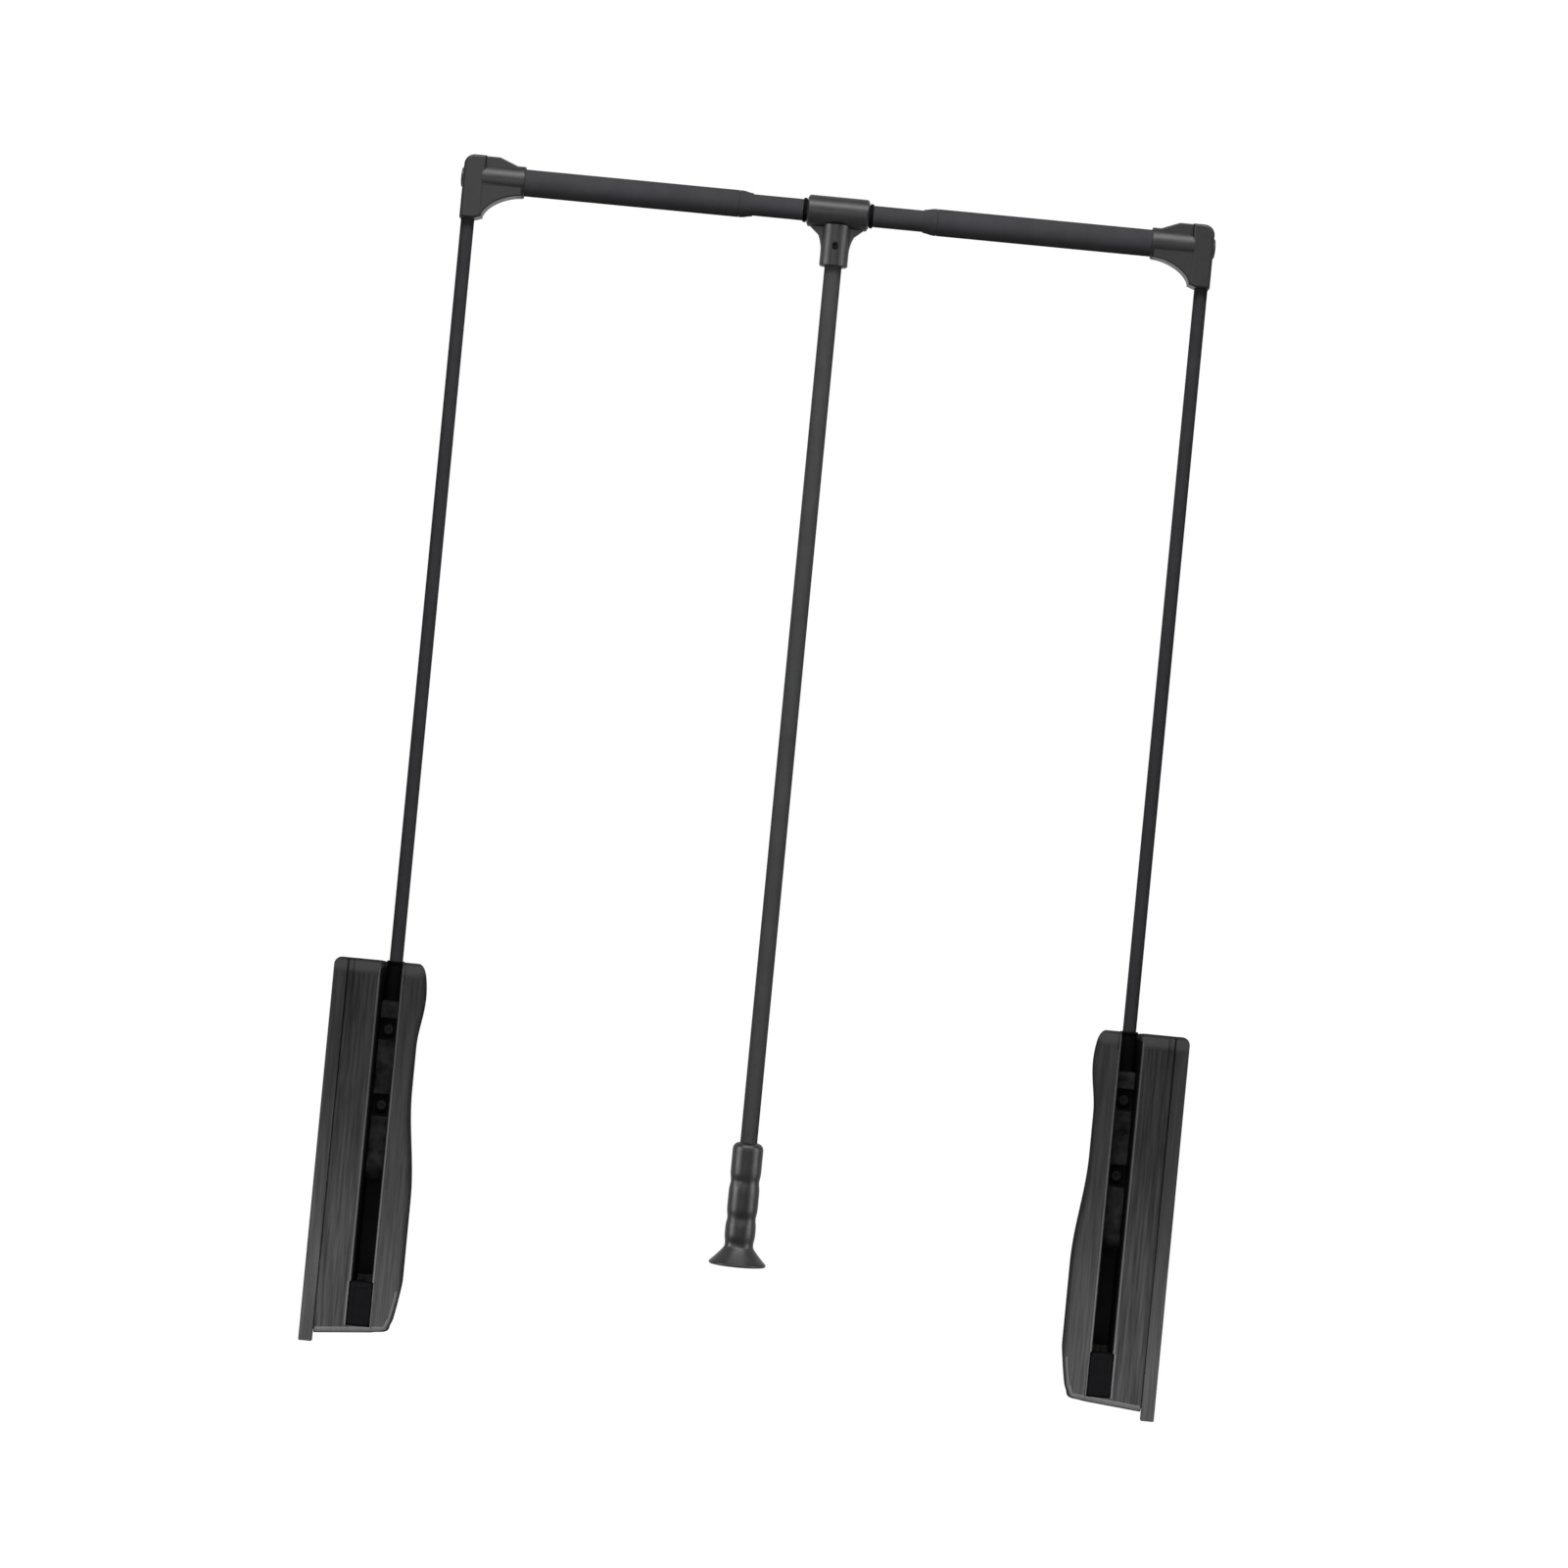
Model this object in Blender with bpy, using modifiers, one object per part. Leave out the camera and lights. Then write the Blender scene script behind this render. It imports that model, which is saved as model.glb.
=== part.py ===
"""Pull-down closet rod: two wall housings, two sprung arms, a telescopic rail and a pull rod.

The rail lies along X with the left housing at -X, the front of the closet faces -Y, and z = 0 is
the foot of the wall plates. Each housing holds the return drive of its arm: a pinion on the pivot
shaft pushes a rack down on a compression spring, and a rotary damper slows the way up.
"""
import math
from typing import NamedTuple

import bmesh
import bpy
from mathutils import Matrix, Vector

MM = 0.001

# Overall sizes
SET_WIDTH = 695.0 * MM
HOUSING_HEIGHT = 307.0 * MM
HOUSING_DEPTH = 95.0 * MM
RAIL_HEIGHT = 953.3 * MM
PIVOT_HEIGHT = 146.0 * MM
ARM_INSET = 46.7 * MM
ARM_SETBACK = 44.0 * MM
SWING_RANGE = math.radians(140.0)

# Clearances
FIT = 0.3 * MM
RUNNING_GAP = 0.4 * MM
END_GAP = 1.0 * MM
OVERCUT = 1.0 * MM
WELD_DISTANCE = 0.01 * MM
SHARP_ANGLE = math.radians(35.0)

# Tubes and rods
RAIL_DIAMETER = 22.0 * MM
RAIL_WALL = 0.9 * MM
INNER_RAIL_DIAMETER = 17.5 * MM
INNER_RAIL_WALL = 1.2 * MM
INNER_RAIL_LENGTH = 360.0 * MM
OPEN_RAIL_LENGTH = 140.0 * MM
ARM_DIAMETER = 11.0 * MM
ARM_WALL = 1.5 * MM
PULL_ROD_DIAMETER = 14.0 * MM
PULL_ROD_WALL = 1.5 * MM

# Wall plate
PLATE_THICKNESS = 11.0 * MM
PLATE_WEB = 3.5 * MM
PLATE_RIM = 5.0 * MM
PLATE_FOOT_RIM = 20.0 * MM
PLATE_CORNER = 6.5 * MM
WALL_SCREW_DIAMETER = 5.5 * MM
WALL_SCREW_HEAD = 10.5 * MM
WALL_SCREW_SINK = 2.4 * MM
WALL_SCREW_SPREAD = 60.0 * MM
WALL_SCREW_INSET = 44.0 * MM

# Moulded shell with the arm slot
SHELL_WALL = 2.6 * MM
SHELL_FOOT_NEAR = 8.7 * MM
SHELL_FOOT_FAR = 15.0 * MM
SLOT_WIDTH = 16.2 * MM
SLOT_LIP = 1.4 * MM
REBATE_WIDTH = 5.5 * MM
REBATE_DEPTH = 0.9 * MM
REBATE_LENGTH = 92.0 * MM
STOP_LEDGE = 1.6 * MM
STOP_DEPTH = 14.0 * MM
STOP_HEIGHT = 35.5 * MM
STOP_SETBACK = 0.6 * MM
STOP_ROUND = 1.5 * MM

# Room side cover
COVER_TOP_REACH = 70.0 * MM
COVER_SHOULDER_REACH = 76.3 * MM
COVER_WAIST_REACH = 72.2 * MM
COVER_BELLY_REACH = 79.9 * MM
COVER_FOOT_REACH = 70.7 * MM
COVER_SHOULDER_DROP = 26.0 * MM
COVER_WAIST_DROP = 68.0 * MM
COVER_WAIST_LENGTH = 34.0 * MM
COVER_BELLY_TOP = 120.0 * MM
COVER_BELLY_FOOT = 53.0 * MM
COVER_DRAFT = 4.0 * MM
COVER_FRONT_ROUND = 5.0 * MM
COVER_BACK_ROUND = 8.0 * MM
COVER_LEAST_ROUND = 2.0 * MM
COVER_FOOT_POWER = 1.3
COVER_SCREW_DIAMETER = 4.0 * MM
COVER_SCREW_HEAD = 7.6 * MM
COVER_SCREW_SINK = 7.0 * MM
COVER_SCREW_HEAD_HEIGHT = 2.8 * MM
COVER_SCREW_BITE = 14.0 * MM
SCREW_HEAD_CHAMFER = 0.8 * MM
COVER_SCREW_INSET = 44.0 * MM
COVER_BOSS_WALL = 2.4 * MM

# Pivot, lever and arm
SHAFT_DIAMETER = 10.0 * MM
BUSH_WALL = 1.7 * MM
BUSH_FLANGE = 3.0 * MM
BUSH_FLANGE_THICKNESS = 1.2 * MM
LEVER_HUB_RADIUS = 15.0 * MM
LEVER_DEPTH = 24.0 * MM
LEVER_LENGTH = 132.0 * MM
LEVER_TOP_ROUND = 4.0 * MM
SLOT_BACK_GAP = 4.5 * MM
ARM_SOCKET_START = 32.0 * MM
LEVER_SCREW_DIAMETER = 5.0 * MM
LEVER_SCREW_HEAD = 8.0 * MM
LEVER_SCREW_SINK = 3.4 * MM
LEVER_SCREW_HEAD_HEIGHT = 2.2 * MM
UPPER_SCREW_RISE = 109.0 * MM
LOWER_SCREW_RISE = 47.0 * MM
UPPER_RECESS_LENGTH = 17.0 * MM
CLIP_THICKNESS = 1.2 * MM
CLIP_GROOVE_DEPTH = 1.0 * MM
CLIP_WIDTH = 3.6 * MM
CLIP_MOUTH = math.radians(70.0)
SHAFT_TAIL = 2.0 * MM

# Return drive
GEAR_MODULE = 2.0 * MM
PINION_TEETH = 18
PRESSURE_ANGLE = math.radians(20.0)
BACKLASH = 0.4 * MM
DEDENDUM_SHARE = 1.25
PINION_ADDENDUM_SHARE = 0.95
RACK_ADDENDUM_SHARE = 0.9
PINION_WIDTH = 10.0 * MM
PINION_HUB_WALL = 3.2 * MM
RACK_WIDTH = 12.0 * MM
RACK_BACK = 8.0 * MM
RACK_MESH_LENGTH = 24.0 * MM
RACK_FOOT_THICKNESS = 6.0 * MM
RACK_FOOT_DROP = 3.0 * MM
RACK_SPIGOT = 5.0 * MM
GUIDE_WALL = 2.4 * MM
GUIDE_RISE = 5.0 * MM
SPRING_DIAMETER = 20.0 * MM
SPRING_WIRE = 3.0 * MM
SPRING_TURNS = 7
SPRING_POINTS_PER_TURN = 8
SPRING_POST_GAP = 1.0 * MM
SPRING_POST_CHAMFER = 1.8 * MM
SPRING_SEAT_THICKNESS = 3.0 * MM
DAMPER_DIAMETER = 38.0 * MM
DAMPER_WIDTH = 10.0 * MM
DAMPER_ROTOR_WALL = 2.7 * MM
DAMPER_CHAMFER = 1.2 * MM

# Elbow between arm and rail
ELBOW_SLEEVE_WALL = 1.7 * MM
ELBOW_REACH = 44.0 * MM
ELBOW_MOUTH = 2.0 * MM
ELBOW_SKIN = 0.6 * MM
ELBOW_BLOCK_INNER = 11.4 * MM
ELBOW_BLOCK_DEPTH = 24.0 * MM
ELBOW_BLOCK_ROUND = 2.0 * MM
ELBOW_CORNER = 8.5 * MM
ELBOW_CORNER_STEPS = 5
ELBOW_RISE = 18.4 * MM
ELBOW_DROP = 33.6 * MM
ELBOW_WEB = 10.0 * MM
ELBOW_RIDGE = 22.4 * MM
ELBOW_RIDGE_DROP = 0.5 * MM
ELBOW_SHOULDER = 37.4 * MM
ELBOW_PARTITION = 6.0 * MM
ELBOW_ARM_CAP = 9.0 * MM
CAP_DIAMETER = 16.0 * MM
CAP_HEIGHT = 1.9 * MM
CAP_SHANK_DIAMETER = 5.0 * MM
CAP_EDGE = 0.8 * MM

# Rail collars and stop rings
COLLAR_NOSE = 11.0 * MM
COLLAR_NOSE_WALL = 0.5 * MM
COLLAR_LAND = 2.75 * MM
COLLAR_SPIGOT = 20.0 * MM
STOP_RING_WIDTH = 3.0 * MM
STOP_RING_WALL = 0.9 * MM
PLUG_FLANGE = 4.0 * MM
PLUG_SPIGOT = 14.0 * MM

# Tee, pull rod and grip
TEE_SLEEVE_WALL = 3.95 * MM
TEE_LENGTH = 50.8 * MM
TEE_CHAMFER = 2.0 * MM
TEE_DROP = 44.3 * MM
TEE_SOCKET_WALL = 3.1 * MM
TEE_WEB_WIDTH = 19.0 * MM
TEE_WEB_THICKNESS = 7.0 * MM
TEE_WEB_LIFT = 0.8 * MM
TEE_GUSSET_DROP = 30.0 * MM
TEE_BRIDGE = 3.2 * MM
TEE_SCREW_DROP = 28.0 * MM
TEE_SCREW_DIAMETER = 4.0 * MM
GUSSET_POWER = 1.7
GRIP_TOP = 190.5 * MM
GRIP_FOOT = 90.0 * MM
GRIP_DIAMETER = 25.0 * MM
GRIP_SWELL = 0.7 * MM
GRIP_SWELLS = 3
GRIP_CONE_HEIGHT = 14.0 * MM
GRIP_CONE_DIAMETER = 46.8 * MM
GRIP_RIM = 2.4 * MM
GRIP_EDGE = 3.2 * MM
GRIP_SOCKET_DEPTH = 70.0 * MM

# Facet counts
ROUND = 16
FINE_ROUND = 24
MEDIUM_ROUND = 12
SMALL_ROUND = 8
ARC_STEPS = 4
FLANK_STEPS = 2

# Derived places
HALF_WIDTH = SET_WIDTH / 2
FRONT = -HOUSING_DEPTH / 2
BACK = HOUSING_DEPTH / 2
ARM_Y = FRONT + ARM_SETBACK
ARM_X = HALF_WIDTH - ARM_INSET
SLOT_NEAR = ARM_INSET - SLOT_WIDTH / 2
SLOT_FAR = ARM_INSET + SLOT_WIDTH / 2
SLOT_BACK = ARM_Y + LEVER_HUB_RADIUS + SLOT_BACK_GAP
SHELL_NEAR = PLATE_THICKNESS + FIT
BAY_FAR = SLOT_NEAR - SHELL_WALL
SHELL_FAR = SLOT_FAR + SHELL_WALL
COVER_NEAR = SHELL_FAR + FIT
DRIVE_REACH = (SHELL_NEAR + BAY_FAR) / 2
FOOT_SLOPE = (SHELL_FOOT_FAR - SHELL_FOOT_NEAR) / (COVER_BELLY_REACH - PLATE_THICKNESS)
SHAFT_RADIUS = SHAFT_DIAMETER / 2
SHAFT_BORE = SHAFT_RADIUS + FIT
BUSH_RADIUS = SHAFT_BORE + BUSH_WALL
BUSH_HEAD_RADIUS = BUSH_RADIUS + BUSH_FLANGE
ARM_RADIUS = ARM_DIAMETER / 2
LEVER_TOP = PIVOT_HEIGHT + LEVER_LENGTH
ARM_FOOT = PIVOT_HEIGHT + ARM_SOCKET_START + FIT
ARM_TOP = RAIL_HEIGHT + ELBOW_ARM_CAP
PITCH = math.pi * GEAR_MODULE
PITCH_RADIUS = GEAR_MODULE * PINION_TEETH / 2
RACK_TRAVEL = PITCH_RADIUS * SWING_RANGE
RACK_TEETH = math.ceil((RACK_TRAVEL + RACK_MESH_LENGTH) / PITCH)
RACK_TEETH_BELOW = 2
RACK_LOW = PIVOT_HEIGHT - RACK_TEETH_BELOW * PITCH
RACK_TOP = RACK_LOW + RACK_TEETH * PITCH
RACK_PITCH_Y = ARM_Y - PITCH_RADIUS
RACK_ROOT_Y = RACK_PITCH_Y - DEDENDUM_SHARE * GEAR_MODULE
RACK_BACK_Y = RACK_ROOT_Y - RACK_BACK
RACK_FOOT_TOP = RACK_LOW - RACK_FOOT_DROP
RACK_FOOT_LOW = RACK_FOOT_TOP - RACK_FOOT_THICKNESS
SPRING_Y = (RACK_ROOT_Y + RACK_BACK_Y) / 2
SPRING_POST_RADIUS = SPRING_DIAMETER / 2 - SPRING_WIRE - SPRING_POST_GAP
RAIL_RADIUS = RAIL_DIAMETER / 2
RAIL_BORE = RAIL_RADIUS - RAIL_WALL
RAIL_END = ARM_X - ARM_RADIUS - FIT - ELBOW_PARTITION - FIT
INNER_RAIL_RADIUS = INNER_RAIL_DIAMETER / 2
INNER_RAIL_BORE = INNER_RAIL_RADIUS - INNER_RAIL_WALL
NOSE_START = OPEN_RAIL_LENGTH / 2
TUBE_START = NOSE_START + COLLAR_NOSE + FIT
SLIDE_BORE = INNER_RAIL_RADIUS + FIT
PULL_ROD_RADIUS = PULL_ROD_DIAMETER / 2
TEE_SLEEVE_RADIUS = SLIDE_BORE + TEE_SLEEVE_WALL
TEE_SOCKET_TOP = RAIL_HEIGHT - TEE_SLEEVE_RADIUS + TEE_BRIDGE
PULL_ROD_TOP = TEE_SOCKET_TOP - FIT
PULL_ROD_FOOT = GRIP_TOP - GRIP_SOCKET_DEPTH + FIT


class Side(NamedTuple):
    """One end of the rod: its name and the sign of its X."""
    name: str
    sign: int


class Finish(NamedTuple):
    """Colour, roughness and metallic value of one kind of surface."""
    colour: tuple
    roughness: float
    metallic: float


LEFT = Side("left", -1)
RIGHT = Side("right", 1)
MOULDED = Finish((0.047, 0.047, 0.049), 0.48, 0.0)
COATED = Finish((0.041, 0.041, 0.044), 0.38, 0.0)
RUBBER = Finish((0.012, 0.012, 0.012), 0.75, 0.0)
STEEL = Finish((0.42, 0.42, 0.43), 0.32, 1.0)
ACETAL = Finish((0.62, 0.61, 0.57), 0.42, 0.0)

for old in list(bpy.data.objects):
    bpy.data.objects.remove(old, do_unlink=True)
PARTS = bpy.data.collections.new("pull_down_closet_rod")
CUTTERS = bpy.data.collections.new("cutters")
AXES = bpy.data.collections.new("joint_axes")
for group in (PARTS, CUTTERS, AXES):
    bpy.context.scene.collection.children.link(group)


# Helpers

def add_material(obj, finish):
    """Give an object its own Principled material."""
    material = bpy.data.materials.new(obj.name)
    material.use_nodes = True
    shader = material.node_tree.nodes["Principled BSDF"]
    shader.inputs["Base Color"].default_value = (*finish.colour, 1.0)
    shader.inputs["Roughness"].default_value = finish.roughness
    shader.inputs["Metallic"].default_value = finish.metallic
    obj.data.materials.append(material)


def add_object(name, mesh, finish):
    """Link a mesh as a part with its finish, or as a cutter where it has none."""
    mesh.shade_smooth()
    mesh.set_sharp_from_angle(angle=SHARP_ANGLE)
    obj = bpy.data.objects.new(name, mesh)
    if finish is None:
        CUTTERS.objects.link(obj)
        obj.hide_render = True
        obj.display_type = 'WIRE'
    else:
        PARTS.objects.link(obj)
        add_material(obj, finish)
    return obj


def mesh_from(name, bm):
    """Turn a bmesh into a mesh."""
    mesh = bpy.data.meshes.new(name)
    bm.to_mesh(mesh)
    bm.free()
    return mesh


def box(name, low, high, finish=None):
    """Block between two corners, with its origin at its middle."""
    size = [abs(high[axis] - low[axis]) for axis in range(3)]
    bm = bmesh.new()
    bmesh.ops.create_cube(bm, size=1.0)
    bmesh.ops.scale(bm, vec=size, verts=bm.verts)
    obj = add_object(name, mesh_from(name, bm), finish)
    obj.location = (Vector(low) + Vector(high)) / 2
    return obj


def cylinder(name, start, end, radius, finish=None, segments=ROUND):
    """Round bar between two points."""
    start = Vector(start)
    run = Vector(end) - start
    bm = bmesh.new()
    bmesh.ops.create_cone(bm, cap_ends=True, segments=segments, radius1=radius, radius2=radius,
                          depth=run.length)
    obj = add_object(name, mesh_from(name, bm), finish)
    obj.location = start + run / 2
    obj.rotation_euler = run.to_track_quat('Z', 'Y').to_euler()
    return obj


def turned(name, profile, origin, direction, finish=None, ring=False, segments=ROUND):
    """Turned piece: (radius, distance along the axis) points, closed on themselves for a ring."""
    area = sum(a[0] * b[1] - b[0] * a[1] for a, b in zip(profile, profile[1:] + profile[:1]))
    points = profile if area < 0 else profile[::-1]
    edges = [(index, index + 1) for index in range(len(points) - 1)]
    if ring:
        edges.append((len(points) - 1, 0))
    mesh = bpy.data.meshes.new(name)
    mesh.from_pydata([(radius, 0.0, along) for radius, along in points], edges, [])
    obj = add_object(name, mesh, finish)
    obj.location = origin
    obj.rotation_euler = Vector(direction).to_track_quat('Z', 'Y').to_euler()
    screw = obj.modifiers.new("turn", 'SCREW')
    screw.axis = 'Z'
    screw.steps = segments
    screw.render_steps = segments
    screw.use_merge_vertices = True
    screw.merge_threshold = WELD_DISTANCE
    screw.use_smooth_shade = True
    return obj


def mesh_of_curve(curve_object, finish):
    """Replace a curve by a welded mesh of the same shape and place."""
    graph = bpy.context.evaluated_depsgraph_get()
    mesh = bpy.data.meshes.new_from_object(curve_object.evaluated_get(graph))
    name = curve_object.name
    placed = curve_object.matrix_world.copy()
    bpy.data.objects.remove(curve_object, do_unlink=True)
    bm = bmesh.new()
    bm.from_mesh(mesh)
    bmesh.ops.remove_doubles(bm, verts=bm.verts, dist=WELD_DISTANCE)
    bmesh.ops.recalc_face_normals(bm, faces=bm.faces)
    bm.to_mesh(mesh)
    bm.free()
    mesh.materials.clear()
    obj = add_object(name, mesh, finish)
    obj.matrix_world = placed
    return obj


PLANES = {
    'X': Matrix(((0, 0, 1), (1, 0, 0), (0, 1, 0))),
    'Y': Matrix(((1, 0, 0), (0, 0, -1), (0, 1, 0))),
    'Z': Matrix.Identity(3),
}


def plate(name, loops, axis, low, high, finish=None):
    """Flat outline, with any holes as further loops, from low to high along an axis.

    The outline's points are (y, z), (x, z) or (x, y) for the axis X, Y or Z.
    """
    curve = bpy.data.curves.new(name, 'CURVE')
    curve.dimensions = '2D'
    curve.fill_mode = 'BOTH'
    curve.extrude = abs(high - low) / 2
    for loop in loops:
        spline = curve.splines.new('POLY')
        spline.points.add(len(loop) - 1)
        for point, (across, up) in zip(spline.points, loop):
            point.co = (across, up, 0.0, 1.0)
        spline.use_cyclic_u = True
    obj = bpy.data.objects.new(name, curve)
    CUTTERS.objects.link(obj)
    obj.matrix_world = PLANES[axis].to_4x4()
    obj.location['XYZ'.index(axis)] = (low + high) / 2
    bpy.context.view_layer.update()
    return mesh_of_curve(obj, finish)


def loft(name, sections, finish=None):
    """Skin through closed sections of as many points each, with flat ends."""
    bm = bmesh.new()
    rings = [[bm.verts.new(point) for point in section] for section in sections]
    for lower, upper in zip(rings, rings[1:]):
        for index in range(len(lower)):
            after = (index + 1) % len(lower)
            bm.faces.new((lower[index], lower[after], upper[after], upper[index]))
    bm.faces.new(rings[0])
    bm.faces.new(rings[-1])
    bmesh.ops.recalc_face_normals(bm, faces=bm.faces)
    return add_object(name, mesh_from(name, bm), finish)


def combine(obj, other, operation):
    """Cut, join or intersect an object with a helper solid."""
    boolean = obj.modifiers.new(other.name, 'BOOLEAN')
    boolean.operation = operation
    boolean.solver = 'EXACT'
    boolean.object = other


def cut(obj, *cutters):
    """Take helper solids away from an object."""
    for cutter in cutters:
        combine(obj, cutter, 'DIFFERENCE')


def join(obj, *others):
    """Add helper solids to an object."""
    for other in others:
        combine(obj, other, 'UNION')


def round_edges(obj, width, segments=2):
    """Round the sharp edges of an object."""
    bevel = obj.modifiers.new("rounded", 'BEVEL')
    bevel.width = width
    bevel.segments = segments
    bevel.limit_method = 'ANGLE'


def arc(centre, radius, start, end, steps=ARC_STEPS):
    """Points of an arc between two angles in degrees."""
    angles = [math.radians(start + (end - start) * step / steps) for step in range(steps + 1)]
    return [(centre[0] + radius * math.cos(a), centre[1] + radius * math.sin(a)) for a in angles]


def hollow_curve(start, end, steps=6):
    """Concave fillet from a steep start to a level end, as a superellipse quadrant."""
    points = []
    for step in range(steps + 1):
        turn = math.pi / 2 * step / steps
        across = math.cos(turn) ** (2 / GUSSET_POWER)
        up = math.sin(turn) ** (2 / GUSSET_POWER)
        points.append((end[0] + (start[0] - end[0]) * across, start[1] + (end[1] - start[1]) * up))
    return points


def wall_x(side, reach):
    """World X at a distance from a side's wall face."""
    return side.sign * (HALF_WIDTH - reach)


def inward(side):
    """Direction from a side's wall towards the middle of the rod."""
    return Vector((-side.sign, 0.0, 0.0))


def mirrored(side, points):
    """World (x, z) or (x, y) outline from (distance from the wall, other) points."""
    return [(wall_x(side, reach), other) for reach, other in points]


def foot_height(reach):
    """Height of the sloping underside at a distance from the wall."""
    return SHELL_FOOT_NEAR + (reach - PLATE_THICKNESS) * FOOT_SLOPE


def side_box(side, name, reaches, depths, heights, finish=None):
    """Block given by its reach from the wall, its depth and its height."""
    xs = sorted(wall_x(side, reach) for reach in reaches)
    low = (xs[0], depths[0], heights[0])
    high = (xs[1], depths[1], heights[1])
    return box(f"{side.name}_{name}", low, high, finish)


def pivot_point(side, reach):
    """Point of a side's pivot axis."""
    return Vector((wall_x(side, reach), ARM_Y, PIVOT_HEIGHT))


def wall_point(side, depth, height):
    """Point of a side's wall face, from which turned pieces measure their reach."""
    return Vector((wall_x(side, 0.0), depth, height))


# Housing

COVER_SCREW_Y = (SLOT_BACK + BACK) / 2
COVER_SCREW_HEIGHTS = {
    "lower": COVER_SCREW_INSET,
    "upper": HOUSING_HEIGHT - COVER_SCREW_INSET,
}
BAY_FLOOR = foot_height(BAY_FAR) + SHELL_WALL
SLOT_FLOOR = foot_height(SHELL_FAR) + SHELL_WALL
STOP_FOOT = SLOT_FLOOR + FIT


def build_wall_plate(side):
    """Moulded tray that is screwed to the closet wall."""
    corner = arc((PLATE_CORNER, HOUSING_HEIGHT - PLATE_CORNER), PLATE_CORNER, 90, 180)
    outline = [(0, 0), (PLATE_THICKNESS, 0), (PLATE_THICKNESS, HOUSING_HEIGHT)] + corner
    obj = plate(f"{side.name}_wall_plate", [mirrored(side, outline)], 'Y', FRONT, BACK, MOULDED)
    pocket = side_box(side, "plate_pocket", (PLATE_WEB, PLATE_THICKNESS + OVERCUT),
                      (FRONT + PLATE_RIM, BACK - PLATE_RIM),
                      (PLATE_FOOT_RIM, HOUSING_HEIGHT - PLATE_RIM))
    cut(obj, pocket)
    hole = WALL_SCREW_DIAMETER / 2
    head = WALL_SCREW_HEAD / 2
    sunk_hole = [(0, PLATE_WEB + OVERCUT), (head, PLATE_WEB + OVERCUT), (head, PLATE_WEB),
                 (hole, PLATE_WEB - WALL_SCREW_SINK), (hole, -OVERCUT), (0, -OVERCUT)]
    for row, height in enumerate((WALL_SCREW_INSET, HOUSING_HEIGHT - WALL_SCREW_INSET)):
        for column, depth in enumerate((-WALL_SCREW_SPREAD / 2, WALL_SCREW_SPREAD / 2)):
            name = f"{side.name}_wall_screw_hole_{row}{column}"
            cut(obj, turned(name, sunk_hole, wall_point(side, depth, height), inward(side),
                            segments=SMALL_ROUND))
    return obj


def build_shell(side):
    """Moulded housing: drive bay open to the wall plate, and the slot that the arm swings in."""
    outline = [(SHELL_NEAR, foot_height(SHELL_NEAR)), (SHELL_FAR, foot_height(SHELL_FAR)),
               (SHELL_FAR, HOUSING_HEIGHT), (SHELL_NEAR, HOUSING_HEIGHT)]
    obj = plate(f"{side.name}_outer_shell", [mirrored(side, outline)], 'Y', FRONT, BACK, MOULDED)
    bay = side_box(side, "drive_bay", (SHELL_NEAR - OVERCUT, BAY_FAR),
                   (FRONT + SHELL_WALL, BACK - SHELL_WALL),
                   (BAY_FLOOR, HOUSING_HEIGHT - SHELL_WALL))
    core = side_box(side, "back_core", (SLOT_NEAR + SHELL_WALL, SLOT_FAR - SHELL_WALL),
                    (SLOT_BACK + SHELL_WALL, BACK + OVERCUT),
                    (2 * COVER_SCREW_INSET, HOUSING_HEIGHT - 2 * COVER_SCREW_INSET))
    lip_centre = FRONT + SLOT_LIP
    mouth = [(SLOT_NEAR - SLOT_LIP, FRONT - OVERCUT)]
    mouth += arc((SLOT_NEAR - SLOT_LIP, lip_centre), SLOT_LIP, -90, 0, 3)
    mouth += [(SLOT_NEAR, SLOT_BACK), (SLOT_FAR, SLOT_BACK)]
    mouth += arc((SLOT_FAR + SLOT_LIP, lip_centre), SLOT_LIP, 180, 270, 3)
    mouth += [(SLOT_FAR + SLOT_LIP, FRONT - OVERCUT)]
    slot = plate(f"{side.name}_arm_slot", [mirrored(side, mouth)], 'Z', SLOT_FLOOR,
                 HOUSING_HEIGHT + OVERCUT)
    pocket = side_box(side, "stop_pocket", (SLOT_NEAR - STOP_LEDGE, SLOT_FAR + STOP_LEDGE),
                      (FRONT - OVERCUT, FRONT + STOP_SETBACK + STOP_DEPTH + FIT),
                      (SLOT_FLOOR, STOP_FOOT + STOP_HEIGHT + FIT))
    rebate_far = SHELL_NEAR + REBATE_WIDTH
    wedge = [(FRONT - OVERCUT, HOUSING_HEIGHT + OVERCUT), (FRONT - OVERCUT, HOUSING_HEIGHT - REBATE_LENGTH),
             (FRONT, HOUSING_HEIGHT - REBATE_LENGTH), (FRONT + REBATE_DEPTH, HOUSING_HEIGHT + OVERCUT)]
    rebate_xs = sorted((wall_x(side, SHELL_NEAR - OVERCUT), wall_x(side, rebate_far)))
    rebate = plate(f"{side.name}_rebate", [wedge], 'X', *rebate_xs)
    bore = cylinder(f"{side.name}_bush_bore", pivot_point(side, BAY_FAR - OVERCUT),
                    pivot_point(side, SHELL_FAR + OVERCUT), BUSH_RADIUS + FIT)
    cut(obj, bay, core, slot, pocket, rebate, bore)
    for row, height in COVER_SCREW_HEIGHTS.items():
        start = wall_point(side, COVER_SCREW_Y, height) + inward(side) * (SHELL_FAR + OVERCUT)
        end = start - inward(side) * (COVER_SCREW_BITE + OVERCUT + END_GAP)
        cut(obj, cylinder(f"{side.name}_screw_pilot_{row}", start, end, COVER_SCREW_DIAMETER / 2 + FIT,
                          segments=SMALL_ROUND))
    join(obj, build_rack_guide(side))
    return obj


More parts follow.
